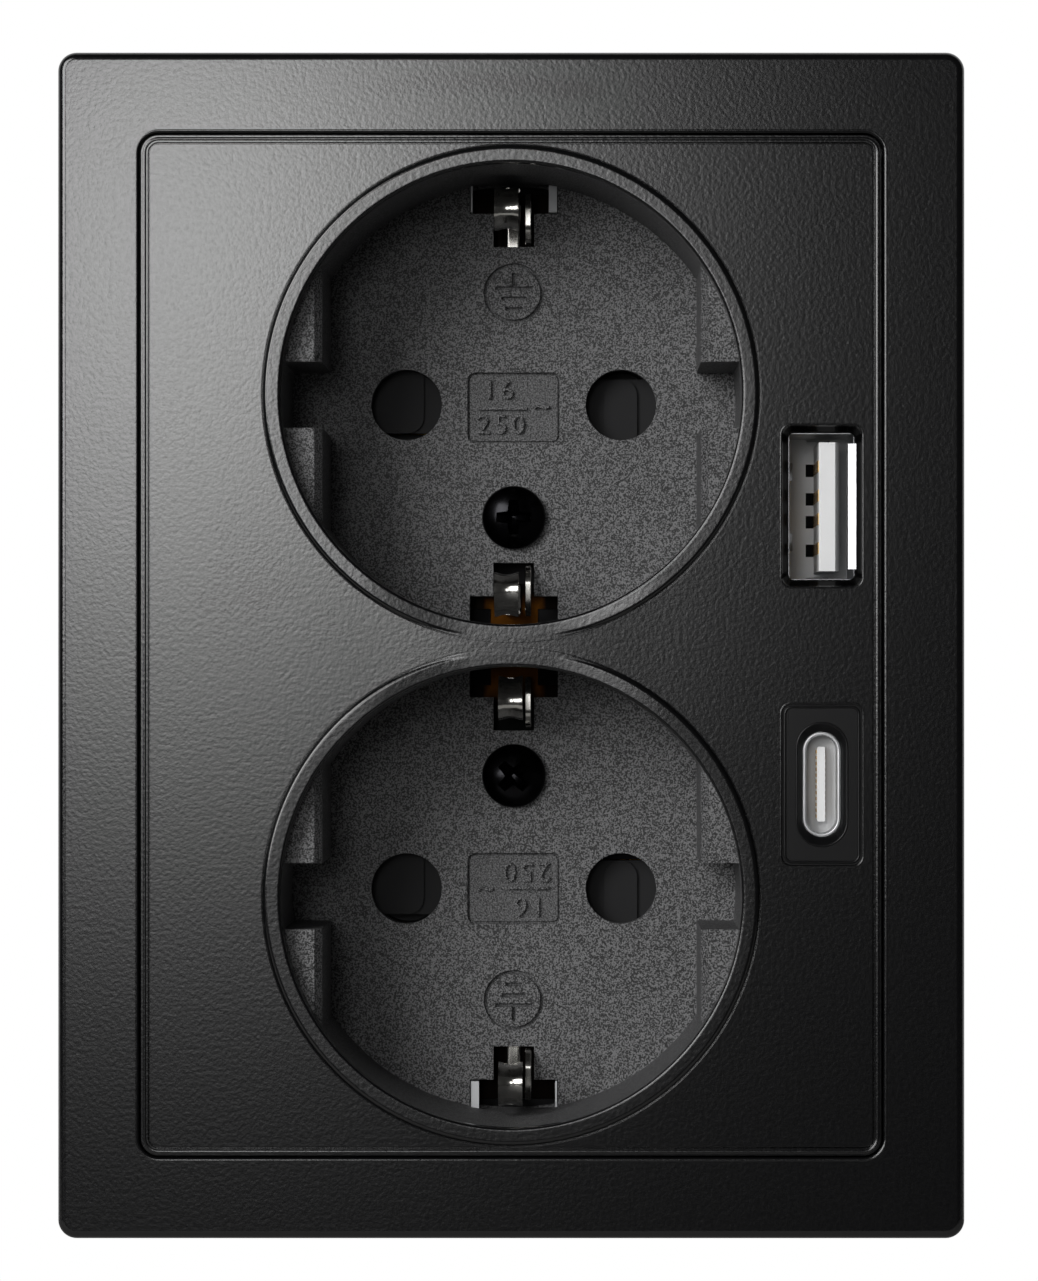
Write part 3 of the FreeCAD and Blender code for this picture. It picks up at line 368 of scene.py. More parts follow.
def satinPolycarbonate(name="satinMouldedPolycarbonate", paintedGlintPale=None, hasCups=1.0):
    # Moulded black polycarbonate: a fine even satin that greys softly towards the light.
    # Below the rim of the cups the mould was spark-eroded, which gives a coarser grain; its sparkle is painted
    # into the colour as pale glints.
    sizes = blackPlastic
    deepStart, deepEnd = (faceY + away * mm for away in sizes["erodedStart"])
    portNear, portFar = (away * mm for away in sizes["portReach"])
    portStart, portEnd = (faceY + away * mm for away in sizes["portStart"])
    panelStart, panelEnd = (floorY + away * mm for away in sizes["panelStart"])
    material, tree, shader, place = startMaterial(name)
    fine = addNode(tree, "ShaderNodeTexNoise", inputs={"Scale": 1 / (sizes["fineGrain"] * mm), "Detail": 2.0},
                   links={"Vector": place})
    coarse = addNode(tree, "ShaderNodeTexNoise",
                     inputs={"Scale": 1 / (sizes["floorGrain"] * mm), "Detail": 1.0},
                     links={"Vector": place})
    split = addNode(tree, "ShaderNodeSeparateXYZ", links={"Vector": place})
    deep = addNode(tree, "ShaderNodeMapRange", {"clamp": True},
                   {"From Min": deepStart, "From Max": deepEnd, "To Min": 0.0, "To Max": hasCups},
                   {"Value": (split, "Y")})
    # Painted shade: a mask for the walls of the port openings below the face, which are coloured near black.
    fromPorts = addNode(tree, "ShaderNodeMath", {"operation": "SUBTRACT"}, {1: usbX}, {0: (split, "X")})
    aside = addNode(tree, "ShaderNodeMath", {"operation": "ABSOLUTE"}, links={0: (fromPorts, "Value")})
    besidePorts = addNode(tree, "ShaderNodeMapRange", {"clamp": True},
                          {"From Min": portFar, "From Max": portNear, "To Min": 0.0, "To Max": hasCups},
                          {"Value": (aside, "Value")})
    belowFace = addNode(tree, "ShaderNodeMapRange", {"clamp": True},
                        {"From Min": portStart, "From Max": portEnd, "To Min": 0.0, "To Max": 1.0},
                        {"Value": (split, "Y")})
    inPortShade = addNode(tree, "ShaderNodeMath", {"operation": "MULTIPLY"},
                     links={0: (besidePorts, "Result"), 1: (belowFace, "Result")})
    softEdge = addNode(tree, "ShaderNodeBevel", {"samples": 4}, {"Radius": sizes["edgeRound"] * mm})
    fineBump = addNode(tree, "ShaderNodeBump", inputs={"Strength": 1.0, "Distance": sizes["fineDepth"] * mm},
                       links={"Height": (fine, "Fac"), "Normal": (softEdge, "Normal")})
    coarseBump = addNode(tree, "ShaderNodeBump", inputs={"Distance": sizes["floorDepth"] * mm},
                         links={"Height": (coarse, "Fac"), "Normal": (fineBump, "Normal"),
                                "Strength": (deep, "Result")})
    sheen = addNode(tree, "ShaderNodeMapRange",
                    inputs={"To Min": sizes["roughness"] - sizes["roughnessSpread"],
                            "To Max": sizes["roughness"] + sizes["roughnessSpread"]},
                    links={"Value": (fine, "Fac")})
    rougher = addNode(tree, "ShaderNodeMath", {"operation": "MULTIPLY_ADD"}, {1: sizes["floorRougher"]},
                      {0: (deep, "Result"), 2: (sheen, "Result")})
    tint = addNode(tree, "ShaderNodeMix", {"data_type": "RGBA"},
                   {6: hexColour(sizes["colour"]), 7: hexColour(sizes["paler"])}, {0: (fine, "Fac")})
    sunk = addNode(tree, "ShaderNodeMapRange", {"clamp": True},
                   {"From Min": panelStart, "From Max": panelEnd, "To Min": 1.0,
                    "To Max": sizes["panelGlintShare"]},
                   {"Value": (split, "Y")})
    centred = addNode(tree, "ShaderNodeMath", {"operation": "SUBTRACT"}, {1: 0.5}, {0: (coarse, "Fac")})
    calmed = addNode(tree, "ShaderNodeMath", {"operation": "MULTIPLY_ADD"}, {2: 0.5},
                     {0: (centred, "Value"), 1: (sunk, "Result")})
    # Painted glints: the coarse noise turns the colour from near black to pale grey, for the sparkle of the
    # eroded grain.
    paintedGlints = addNode(tree, "ShaderNodeValToRGB", links={"Fac": (calmed, "Value")})
    dark, pale = paintedGlints.color_ramp.elements
    dark.position, pale.position = sizes["paintedGlintBand"]
    dark.color, pale.color = hexColour(sizes["paintedGlintDark"]), hexColour(paintedGlintPale or sizes["paintedGlintPale"])
    base = addNode(tree, "ShaderNodeMix", {"data_type": "RGBA"},
                   links={0: (deep, "Result"), 6: (tint, 2), 7: (paintedGlints, "Color")})
    shaded = addNode(tree, "ShaderNodeMix", {"data_type": "RGBA"}, {7: hexColour(sizes["portShadeColour"])},
                     {0: (inPortShade, "Value"), 6: (base, 2)})
    glint = addNode(tree, "ShaderNodeMapRange", inputs={"To Min": 0.5, "To Max": sizes["portShine"]},
                    links={"Value": (inPortShade, "Value")})
    shader.inputs["IOR"].default_value = sizes["reflectiveness"]
    linkInputs(tree, shader, {"Base Color": (shaded, 2), "Specular IOR Level": (glint, "Result"),
                              "Roughness": (rougher, "Value"), "Normal": (coarseBump, "Normal")})
    return material


polyamide = {
    "flowSize": 6.0,         # mm, the clouds that the flow of the melt leaves
    "flowPaler": 1.25,
    "grainDepth": 0.01,      # mm
    "roughnessSpread": 0.05,
}


def mouldedPolyamide(name, colour, roughness, grain, shine=0.5):
    # Glass-filled polyamide from a plain mould: dull, with faint lighter flow marks.
    sizes = polyamide
    spread = sizes["roughnessSpread"]
    material, tree, shader, place = startMaterial(name)
    flow = addNode(tree, "ShaderNodeTexNoise",
                   inputs={"Scale": 1 / (sizes["flowSize"] * mm), "Detail": 4.0, "Distortion": 0.8},
                   links={"Vector": place})
    grainNoise = addNode(tree, "ShaderNodeTexNoise", inputs={"Scale": 1 / (grain * mm), "Detail": 2.0},
                         links={"Vector": place})
    base = hexColour(colour)
    paler = tuple(min(1.0, c * sizes["flowPaler"] + 0.002) for c in base[:3]) + (1.0,)
    tint = addNode(tree, "ShaderNodeMix", {"data_type": "RGBA"}, {6: base, 7: paler}, {0: (flow, "Fac")})
    bump = addNode(tree, "ShaderNodeBump", inputs={"Strength": 0.5, "Distance": sizes["grainDepth"] * mm},
                   links={"Height": (grainNoise, "Fac")})
    gloss = addNode(tree, "ShaderNodeMapRange",
                    inputs={"To Min": roughness - spread, "To Max": roughness + spread},
                    links={"Value": (grainNoise, "Fac")})
    shader.inputs["Specular IOR Level"].default_value = shine
    linkInputs(tree, shader, {"Base Color": (tint, 2), "Roughness": (gloss, "Result"),
                              "Normal": (bump, "Normal")})
    return material


plating = {
    "streakStretch": (1, 1, 12),     # the streaks run upwards
    "streakDepth": 0.003,            # mm
    "cloudSize": 2.5,                # mm, where the plating is a little thicker
    "roughnessShare": (0.7, 1.3),
    "paintedShadeReach": (3.6, 4.8),      # mm from the saddle's middle, where the painted shade sets in
    "tarnishSideways": 1.7,          # it sets in this many times closer sideways
}


def platedMetal(name, colour, roughness, streak, edgeColour, tarnish=None):
    # Plated or drawn metal: bright, with fine rolling streaks along the strip.
    # Given a shade colour, the metal turns to it away from the middle of the saddle: painted shade for the parts
    # that lie deep in the dark slots.
    sizes = plating
    smoother, duller = sizes["roughnessShare"]
    stretched = tuple(1 / (streak * mm * share) for share in sizes["streakStretch"])
    material, tree, shader, place = startMaterial(name)
    stretch = addNode(tree, "ShaderNodeMapping", inputs={"Scale": stretched},
                      links={"Vector": place})
    lines = addNode(tree, "ShaderNodeTexNoise", inputs={"Scale": 1.0, "Detail": 3.0},
                    links={"Vector": (stretch, "Vector")})
    cloud = addNode(tree, "ShaderNodeTexNoise", links={"Vector": place},
                    inputs={"Scale": 1 / (sizes["cloudSize"] * mm), "Detail": 3.0})
    tint = addNode(tree, "ShaderNodeMix", {"data_type": "RGBA"},
                   {6: hexColour(colour), 7: hexColour(edgeColour)}, {0: (cloud, "Fac")})
    gloss = addNode(tree, "ShaderNodeMapRange",
                    inputs={"To Min": roughness * smoother, "To Max": roughness * duller},
                    links={"Value": (lines, "Fac")})
    bump = addNode(tree, "ShaderNodeBump", inputs={"Strength": 0.4, "Distance": sizes["streakDepth"] * mm},
                   links={"Height": (lines, "Fac")})
    if tarnish:
        near, far = (away * mm for away in sizes["paintedShadeReach"])
        split = addNode(tree, "ShaderNodeSeparateXYZ", links={"Vector": place})
        height = addNode(tree, "ShaderNodeMath", {"operation": "ABSOLUTE"}, links={0: (split, "Z")})
        aside = addNode(tree, "ShaderNodeMath", {"operation": "ABSOLUTE"}, links={0: (split, "X")})
        spread = addNode(tree, "ShaderNodeMath", {"operation": "MULTIPLY"}, {1: sizes["tarnishSideways"]},
                         {0: (aside, "Value")})
        further = addNode(tree, "ShaderNodeMath", {"operation": "MAXIMUM"},
                          links={0: (height, "Value"), 1: (spread, "Value")})
        away = addNode(tree, "ShaderNodeMapRange", {"clamp": True}, {"From Min": near, "From Max": far},
                       {"Value": (further, "Value")})
        tint = addNode(tree, "ShaderNodeMix", {"data_type": "RGBA"}, {7: hexColour(tarnish)},
                       {0: (away, "Result"), 6: (tint, 2)})
    shader.inputs["Metallic"].default_value = 1.0
    linkInputs(tree, shader, {"Base Color": (tint, 2), "Roughness": (gloss, "Result"),
                              "Normal": (bump, "Normal")})
    return material


materials = {
    "frame_plastic": satinPolycarbonate("satinFramePolycarbonate", hasCups=0.0),
    "plate_plastic": satinPolycarbonate(),
    "black_screw": platedMetal("blackZincPlate", "#1a1a1b", 0.24, 0.3, "#222224"),
    "shutter_plastic": mouldedPolyamide("shutterPolyamide", "#19191a", 0.6, 0.12, 0.2),
    "base_plastic": mouldedPolyamide("baseGlassFilledPolyamide", "#18181a", 0.6, 0.2, 0.3),
    "carrier_plastic": mouldedPolyamide("carrierPolyamide", "#0b0b0c", 0.7, 0.2, 0.12),
    "cover_plastic": mouldedPolyamide("coverGreyPolyamide", "#8f9193", 0.5, 0.2),
    "housing_plastic": mouldedPolyamide("housingPolyamide", "#1f1f20", 0.5, 0.2),
    "bezel_plastic": mouldedPolyamide("bezelPolycarbonate", "#060607", 0.3, 0.22, 0.28),
    "insert_brass": platedMetal("turnedBrass", "#b8924a", 0.25, 0.2, "#a57e38"),
    "contact_brass": platedMetal("stampedBrass", "#b8924a", 0.3, 0.25, "#a57e38"),
    # The earth strap's brass is darkened as painted shade, since it lies deep behind the saddle, and darker
    # still towards its ends.
    "strap_brass": platedMetal("stampedBrassPaintedShade", "#4a2b0a", 0.42, 0.25, "#241504", tarnish="#090706"),
    "lead_brass": platedMetal("leadBrass", "#b48c48", 0.3, 0.25, "#a57e38"),
    "clip_nickel": platedMetal("nickelPlatedSpringStrip", "#cfcdc8", 0.18, 0.2, "#b9b7b1"),
    "port_steel": platedMetal("nickelPlatedShell", "#b4b5b7", 0.3, 0.2, "#98999b"),
    "support_steel": platedMetal("zincPlatedSheet", "#a9abad", 0.35, 0.3, "#94979a"),
    "rivet_steel": platedMetal("rivetSteel", "#b2b4b6", 0.3, 0.3, "#9c9ea0"),
    "cover_screw_steel": platedMetal("zincPlatedScrew", "#b2b4b6", 0.3, 0.3, "#9c9ea0"),
    "spring_steel": platedMetal("drawnSpringSteel", "#9c9ea0", 0.28, 0.15, "#86888a"),
    "capacitor_can": platedMetal("drawnAluminiumCan", "#b9bbbd", 0.3, 0.2, "#a4a6a8"),
    "contact_gold": platedMetal("goldFlash", "#d0a44a", 0.25, 0.2, "#bd8f38"),
    "button_plastic": mouldedPolyamide("buttonOrangeAbs", "#d8742a", 0.3, 0.3),
    "board_laminate": mouldedPolyamide("greenSolderMask", "#1f5a35", 0.3, 0.4),
    "ferrite_core": mouldedPolyamide("sinteredFerrite", "#3c3c3e", 0.6, 0.15),
    "chip_epoxy": mouldedPolyamide("chipEpoxy", "#18181a", 0.5, 0.1),
    "tongue_plastic": mouldedPolyamide("whiteTonguePolymer", "#e9eaea", 0.4, 0.2),
}
# The raised ratings get paler glints than the floor: painted highlight, so that they stand out.
raisedNumberHighlightPlastic = satinPolycarbonate("raisedNumberPaintedHighlightPolycarbonate", "#7a7a7b")
for part in frame["record"]["subparts"]:
    carried = nodes[part["node"]]
    carried.data.materials.clear()
    carried.data.materials.append(materials[part["material_slot"]])
print("materials made:", len(materials))


# Centre plate: the moulded front with its saddle, signs and rating panels

plateDetail = {
    "ringInner": 19.65,      # mm, the mouth of the cups
    "ringWidth": 1.45,
    "ringHeight": 0.24,      # the visible step; the socket's own ring is a little taller
    "ringTilt": 0.8,         # degrees, the rings' tops lean towards the cups
    "ringSteps": (0.0, 0.02, 0.05, 0.09, 0.14, 0.18, 0.22, 0.3, 0.5, 0.7, 0.9, 1.05, 1.11, 1.18, 1.25, 1.31,
                  1.36, 1.4, 1.43, 1.449, 1.451, 1.48, 1.52, 1.56, 1.6),    # mm outwards, closer where it curves
    "mouthRound": 0.22,
    "outerRound": 0.34,
    "footWidth": 0.15,       # the fine crease at the foot of the rings
    "footDepth": 0.12,
    "saddleFull": 3.2,       # mm from the middle, where rings and plate are one smooth surface
    "saddleEnd": 13.0,       # mm from the middle, where the rings stand up fully
    "saddleLevel": 0.03,
    "saddleLap": 0.3,        # mm by which the saddle's skin lies over the plate
    "saddleLift": 0.004,     # mm, so that the two skins don't flicker
    "saddleSteps": (120, 24),
    "pocketDepth": 0.3,      # mm, the room cut for the finer rings
    "ribChamfer": ((16.2, 2.7), (16.85, 1.9)),   # both edges: mm from the middle, mm below the face
    "ribFree": (15.8, 1.2),  # a point in the open, on the same scales
    "ribLength": (2.6, 12.6),        # mm from the cup's axis
    "signPlace": 9.9,        # mm from the cup's axis
    "signRadius": 2.5,
    "signLine": 0.3,
    "signDepth": 0.45,
    "signStem": (0.62, 1.8),
    "signBars": ((0.45, 1.65), (-0.45, 1.08), (-1.4, 0.75)),     # height and half length
    "panelSize": (8.0, 6.07),
    "panelShift": {1: -0.27, -1: 0.0},   # mm upwards from the cup's axis, upper and lower
    "panelCorner": 0.6,
    "panelDepth": 0.32,
    "panelGroove": 0.2,
    "numberHeight": 1.78,
    "numberRaise": 0.36,
    "numberSpacing": 1.25,
    "ratings": (("16", -1.37, 1.55), ("250", -1.15, -1.54), ("~", 2.5, 0.15)),   # text, x and z in the panel
    "ratingBar": ((-3.1, 1.15), (-0.16, 0.08)),
    "plateCorner": 1.5,
    "beadInset": 0.30,       # mm, the fine raised line round the plate
    "beadRadius": 0.34,
    "beadSunk": 0.30,
    "frameGap": 0.42,        # mm from the plate to the middle of the frame's rounded inner edge
    "frameEdge": 0.26,
}
halfWidth, halfHeight = plateHigh.x / mm, plateHigh.z / mm
face, floor = faceY / mm, floorY / mm
cup = cupZ / mm


def smoothStep(low, high, value):
    share = min(1.0, max(0.0, (value - low) / (high - low)))
    return share * share * (3 - 2 * share)


def frontHeight(x, z):
    # Height of the moulded front over the plate's face, in mm, at and near the rings.
    sizes = plateDetail
    width, outer, mouth = sizes["ringWidth"], sizes["outerRound"], sizes["mouthRound"]
    merge = 0.0
    if abs(z) < cup:
        merge = 1 - smoothStep(sizes["saddleFull"], sizes["saddleEnd"], abs(x))
    ground = sizes["saddleLevel"] * merge
    crown = sizes["ringHeight"] * (1 - merge) + ground
    out = math.hypot(x, abs(z) - cup) - sizes["ringInner"]
    if out >= width:
        foot = max(0.0, 1 - abs(out - width - sizes["footWidth"] / 2) / (sizes["footWidth"] / 2))
        return ground - sizes["footDepth"] * (1 - merge) * foot
    height = crown - math.tan(math.radians(sizes["ringTilt"])) * (width - outer - out) * (1 - 0.6 * merge)
    if out > width - outer:
        height -= outer - math.sqrt(max(0.0, outer ** 2 - (out - width + outer) ** 2))
    if out < mouth:
        height -= mouth - math.sqrt(max(0.0, mouth ** 2 - (mouth - max(0.0, out)) ** 2))
    return max(height, ground) if out > width / 2 else height


def makeRings():
    # The tops of both rings, fine enough for their roundings, and the valley that joins them.
    sizes = plateDetail
    inner, steps = sizes["ringInner"], sizes["ringSteps"]
    bottom = face + sizes["pocketDepth"]
    shape = newShape()
    for side in (1, -1):
        rows = []
        for i in range(288):
            angle = 2 * math.pi * i / 288
            dx, dz = math.cos(angle), math.sin(angle)
            row = [(inner * dx, bottom + 0.05, side * cup + inner * dz)]
            for out in steps:
                x, z = (inner + out) * dx, side * cup + (inner + out) * dz
                row.append((x, face - frontHeight(x, z), z))
            row.append(((inner + steps[-1]) * dx, bottom, side * cup + (inner + steps[-1]) * dz))
            rows.append(row)
        addGrid(shape, rows, closedRows=True)
    rings = smoothByAngle(pieceFrom("cupRings", shape), 50)
    dress(rings, "plate_plastic")
    reach, radius = sizes["saddleEnd"] + 0.1, inner + steps[-1]
    across, along = sizes["saddleSteps"]
    grid = []
    for i in range(across + 1):
        x = reach * (2 * i / across - 1)
        edge = cup - math.sqrt(radius ** 2 - x * x)
        heights = [edge * (2 * j / along - 1) for j in range(along + 1)]
        grid.append([(x, face - sizes["saddleLift"] - frontHeight(x, z), z) for z in heights])
    valley = newShape()
    addGrid(valley, grid)
    valleyPiece = pieceFrom("saddleValley", valley, True)
    if valleyPiece.data.polygons[0].normal.y > 0:
        valleyPiece.data.flip_normals()
    dress(valleyPiece, "plate_plastic")


def makeRoom(plate):
    # Cuts the coarse rings and saddle away where the finer ones go.
    sizes = plateDetail
    front, back = face - 2, face + sizes["pocketDepth"]
    outer = sizes["ringInner"] + sizes["ringWidth"] + sizes["footWidth"]
    tools = newShape()
    for side in (1, -1):
        loop = roundedLoop(2 * outer, 2 * outer, outer - 0.001, (0, side * cup), 60)
        addBand(tools, loop, -2.2, 0, front, back)
    combined(plate, pieceFrom("ringRoom", tools))
    reach = sizes["saddleEnd"] + 0.1 - sizes["saddleLap"]
    outline = []
    for sign in (1, -1):
        for i in range(41):
            x = sign * reach * (2 * i / 40 - 1)
            outline.append((x, sign * (cup - math.sqrt((outer - 0.3) ** 2 - x * x))))
    tool = newShape()
    addSlab(tool, outline, front, back)
    combined(plate, pieceFrom("saddleRoom", tool))


def addEarthSign(shape, side):
    # Protective earth inside a circle, as a groove; the lower cup has it turned half round.
    sizes = plateDetail
    z = side * (cup + sizes["signPlace"])
    line, front, back = sizes["signLine"] / 2, floor - 0.3, floor + sizes["signDepth"]
    radius = sizes["signRadius"]
    circle = roundedLoop(2 * radius, 2 * radius, radius - 0.001, (0, z), 16)
    addBand(shape, circle, -line, line, front, back)
    addBlock(shape, (-line, line), (front, back), sorted(z + side * away for away in sizes["signStem"]))
    for height, half in sizes["signBars"]:
        addBlock(shape, (-half, half), (front, back), (z + side * height - line, z + side * height + line))


def makeNumbers(side):
    # Raised generic ratings: current over a bar over voltage, and the sign for alternating current.
    sizes = plateDetail
    half = sizes["numberRaise"] / 2
    parts = []
    for text, x, z in sizes["ratings"]:
        curve = bpy.data.curves.new("ratingText", "FONT")
        curve.body, curve.size = text, sizes["numberHeight"] * 1.38 * mm
        curve.align_x, curve.align_y = "CENTER", "CENTER"
        curve.extrude, curve.space_character = half * mm, sizes["numberSpacing"]
        curve.resolution_u = 4
        holder = newObject("ratingText", curve)
        mesh = evaluatedMesh(holder)
        bpy.data.objects.remove(holder)
        mesh.transform(Matrix.Rotation(math.pi / 2, 4, "X"))
        parts.append(moved(newObject("ratingText", mesh), x, 0, z))
    bar = newShape()
    barX, barZ = sizes["ratingBar"]
    addBlock(bar, barX, (-half, half), barZ)
    parts.append(pieceFrom("ratingBar", bar))
    piece = joinedAs("ratingNumbersUpper" if side > 0 else "ratingNumbersLower", parts)
    if side < 0:
        piece.data.transform(Matrix.Rotation(math.pi, 4, "Y"))
    moved(piece, 0, floor + sizes["panelDepth"] - half + 0.01, side * cup + sizes["panelShift"][side])
    return dress(piece, "plate_plastic", raisedNumberHighlightPlastic)


def cutSigns(plate):
    # The earth signs and the rating panels, with the fine groove round each panel.
    sizes = plateDetail
    sunk, half = floor + sizes["panelDepth"], sizes["panelGroove"] / 2
    tools, grooves = newShape(), newShape()
    for side in (1, -1):
        addEarthSign(tools, side)
        centre = (0, side * cup + sizes["panelShift"][side])
        panel = roundedLoop(*sizes["panelSize"], sizes["panelCorner"], centre)
        addSlab(tools, panel, floor - 0.3, sunk)
        addBand(grooves, panel, -half, half, floor - 0.3, sunk + 0.2)
    combined(plate, pieceFrom("plateTools", tools))
    combined(plate, pieceFrom("panelGrooves", grooves))


def chamferRibs(plate):
    # The lead-in that guides a plug between the ribs.
    sizes = plateDetail
    chamfers, reach = newShape(), newShape()
    (inner, deep), (outer, top) = sizes["ribChamfer"]
    free, above = sizes["ribFree"]
    radius = sizes["ringInner"] - 0.05
    for side in (1, -1):
        addSlab(reach, roundedLoop(2 * radius, 2 * radius, radius - 0.1, (0, side * cup), 20), face, floor)
        for x in (1, -1):
            outline = [(x * free, face + above), (x * outer, face + above), (x * outer, face + top),
                       (x * inner, face + deep), (x * free, face + deep)]
            for z in (1, -1):
                addPrism(chamfers, outline, *sorted(side * cup + z * away for away in sizes["ribLength"]))
    tool = combined(pieceFrom("ribChamfers", chamfers), pieceFrom("cupReach", reach), "INTERSECT")
    combined(plate, tool)


def makePlate():
    plate = mergedCopy("centre_plate", "centrePlateFront")
    makeRoom(plate)
    cutSigns(plate)
    chamferRibs(plate)
    smoothByAngle(plate)
    dress(plate, "plate_plastic")
    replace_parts(plate, "centre_plate")
    makeRings()
    for side in (1, -1):
        makeNumbers(side)


trims = trimTree()


def makeTrim(name, width, height, corner, radius, place, slot, material=None):
    # place is x, y and z of the middle of the bead's path, in mm.
    piece = grown(trims, name, {"Width": width * mm, "Height": height * mm, "Corner": corner * mm,
                                "Bead Radius": radius * mm, "Bead Sides": 14, "Corner Steps": 12,
                                "Material": material or materials[slot]})
    piece.data.polygons.foreach_set("use_smooth", [True] * len(piece.data.polygons))
    return dress(moved(piece, *place), slot, material)


def makeBorders():
    # The fine rounded line round the plate and the rounded inner edge of the frame.
    sizes = plateDetail
    width, height, corner = 2 * halfWidth, 2 * halfHeight, sizes["plateCorner"]
    inset, gap, edge = sizes["beadInset"], sizes["frameGap"], sizes["frameEdge"]
    makeTrim("plateBead", width - 2 * inset, height - 2 * inset, corner - inset, sizes["beadRadius"],
             (0, face + sizes["beadSunk"], 0), "plate_plastic")
    makeTrim("frameInnerEdge", width + 2 * gap, height + 2 * gap, corner + gap, edge,
             (0, face + edge - 0.02, 0), "frame_plastic")


makePlate()
makeBorders()
print("plate made")


# Cross-recess screws in the cup floors

screwDetail = {
    "radius": 2.82,          # mm
    "height": 1.9,
    "domeRadius": 4.0,
    "headShares": (0.0, 0.15, 0.3, 0.45, 0.6, 0.72, 0.82, 0.9, 0.955),   # of the radius
    "shankRadius": 1.5,
    "threadDepth": 0.22,
    "threadPitch": 0.7,
    "length": 11.5,
    "crossLength": 3.3,
    "crossWidth": 0.86,
    "crossDepth": 1.6,
    "turns": (0.0, 45.0),    # degrees, upper and lower
    "place": 10.0,           # mm from the cup's axis towards the saddle
}


def turned(profile, y, z, steps):
    # A shape turned on an axis along y; the profile holds (radius, distance inwards from y).
    rows = []
    for i in range(steps):
        angle = 2 * math.pi * i / steps
        rows.append([(r * math.cos(angle), y + inwards, z + r * math.sin(angle)) for r, inwards in profile])
    shape = newShape()
    addGrid(shape, rows, closedRows=True)
    return shape


def screwHead(z):
    sizes = screwDetail
    r, h, dome = sizes["radius"], sizes["height"], sizes["domeRadius"]
    heights = [(share, h - dome + math.sqrt(dome ** 2 - (share * r) ** 2)) for share in sizes["headShares"]]
    rim = heights[-1][1]
    heights += [(0.985, rim - 0.12), (1.0, rim - 0.3), (1.0, 0.0), (0.0, -0.02)]
    shape = turned([(r * max(share, 0.001), -up) for share, up in heights], floor, z, 48)
    return welded(pieceFrom("screwHead", shape, True), 0.01)


def crossTool(z, turn):
    # The driver that cuts the recess: a cross that narrows towards its tip.
    sizes = screwDetail
    top = floor - sizes["height"]
    outlines = []
    for y, share in ((top - 0.2, 1.06), (top + 0.8, 0.8), (top + sizes["crossDepth"], 0.08)):
        a, b = sizes["crossLength"] / 2 * share, sizes["crossWidth"] / 2 * (0.3 + 0.7 * share)
        corner = b * 1.25
        outline = []
        for quarter in range(4):
            angle = math.radians(90 * quarter + turn)
            c, d = math.cos(angle), math.sin(angle)
            outline += [(x * c - w * d, y, z + x * d + w * c) for x, w in ((a, -b), (a, b), (corner, corner))]
        outlines.append(outline)
    shape = newShape()
    addLoft(shape, outlines)
    return pieceFrom("crossTool", shape)


threads = threadTree()


def screwShank(z):
    sizes = screwDetail
    core, tip = sizes["shankRadius"] - sizes["threadDepth"], sizes["length"]
    profile = [(core, 0.0), (core, tip - 0.7), (core * 0.75, tip - 0.1), (core * 0.6, tip), (0.01, tip)]
    shank = pieceFrom("screwShank", turned(profile, floor, z, 24), True)
    ridge = grown(threads, "threadRidge", {"Turns": (tip - 1.2) / sizes["threadPitch"], "Radius": core * mm,
                                           "Length": (tip - 1.2) * mm, "Ridge": sizes["threadDepth"] * mm,
                                           "Material": materials["black_screw"]})
    return [shank, moved(ridge, 0, floor + 0.3, z)]


def makeScrews():
    parts = []
    for side, turn in zip((1, -1), screwDetail["turns"]):
        z = side * (cup - screwDetail["place"])
        parts += [combined(screwHead(z), crossTool(z, turn))] + screwShank(z)
    piece = smoothByAngle(joinedAs("crossRecessScrews", parts), 35)
    dress(piece, "black_screw")
    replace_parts(piece, "plate_screws")


makeScrews()
print("screws made")


# Earth clips: nickel-plated spring strip, dished and rolled into a nose

clipDetail = {
    "thickness": 0.42,       # mm
    "noseWidth": 2.1,
    "noseShift": {1: -0.55, -1: -0.2},   # the noses sit a little to the left of their slots
    "noseDish": 0.3,         # the edges of the nose stand prouder than its middle
    "nosePath": ((-9.8, 18.45), (-11.9, 18.1), (-13.0, 17.2), (-13.15, 16.3), (-12.0, 15.45), (-9.6, 15.35),
                 (-5.4, 16.6)),          # y and distance from the cup's axis
    "cheekX": (1.0, 1.55),
    "cheekPath": ((-4.6, 18.5), (-5.9, 17.6), (-5.95, 15.6), (-5.2, 14.6), (-4.0, 14.45)),
    "cheekThickness": 0.55,
    "footX": (-0.75, 0.6),
    "footStart": {1: 13.95, -1: 15.9},   # outer and inner clips
}


def bentPath(points, radius, steps=6):
    # The path of a strip that was bent at its inner points.
    path = [points[0]]
    for before, corner, after in zip(points, points[1:], points[2:]):
        here = Vector(corner)
        inward, outward = (Vector(before) - here).normalized(), (Vector(after) - here).normalized()
        half = inward.angle(outward) / 2
        room = 0.48 * min((Vector(before) - here).length, (Vector(after) - here).length)
        reach = min(radius / math.tan(half), room)
        first, last = here + inward * reach, here + outward * reach
        for i in range(steps + 1):
            t = i / steps
            path.append(tuple(first * (1 - t) ** 2 + here * 2 * t * (1 - t) + last * t * t))
    path.append(points[-1])
    return path


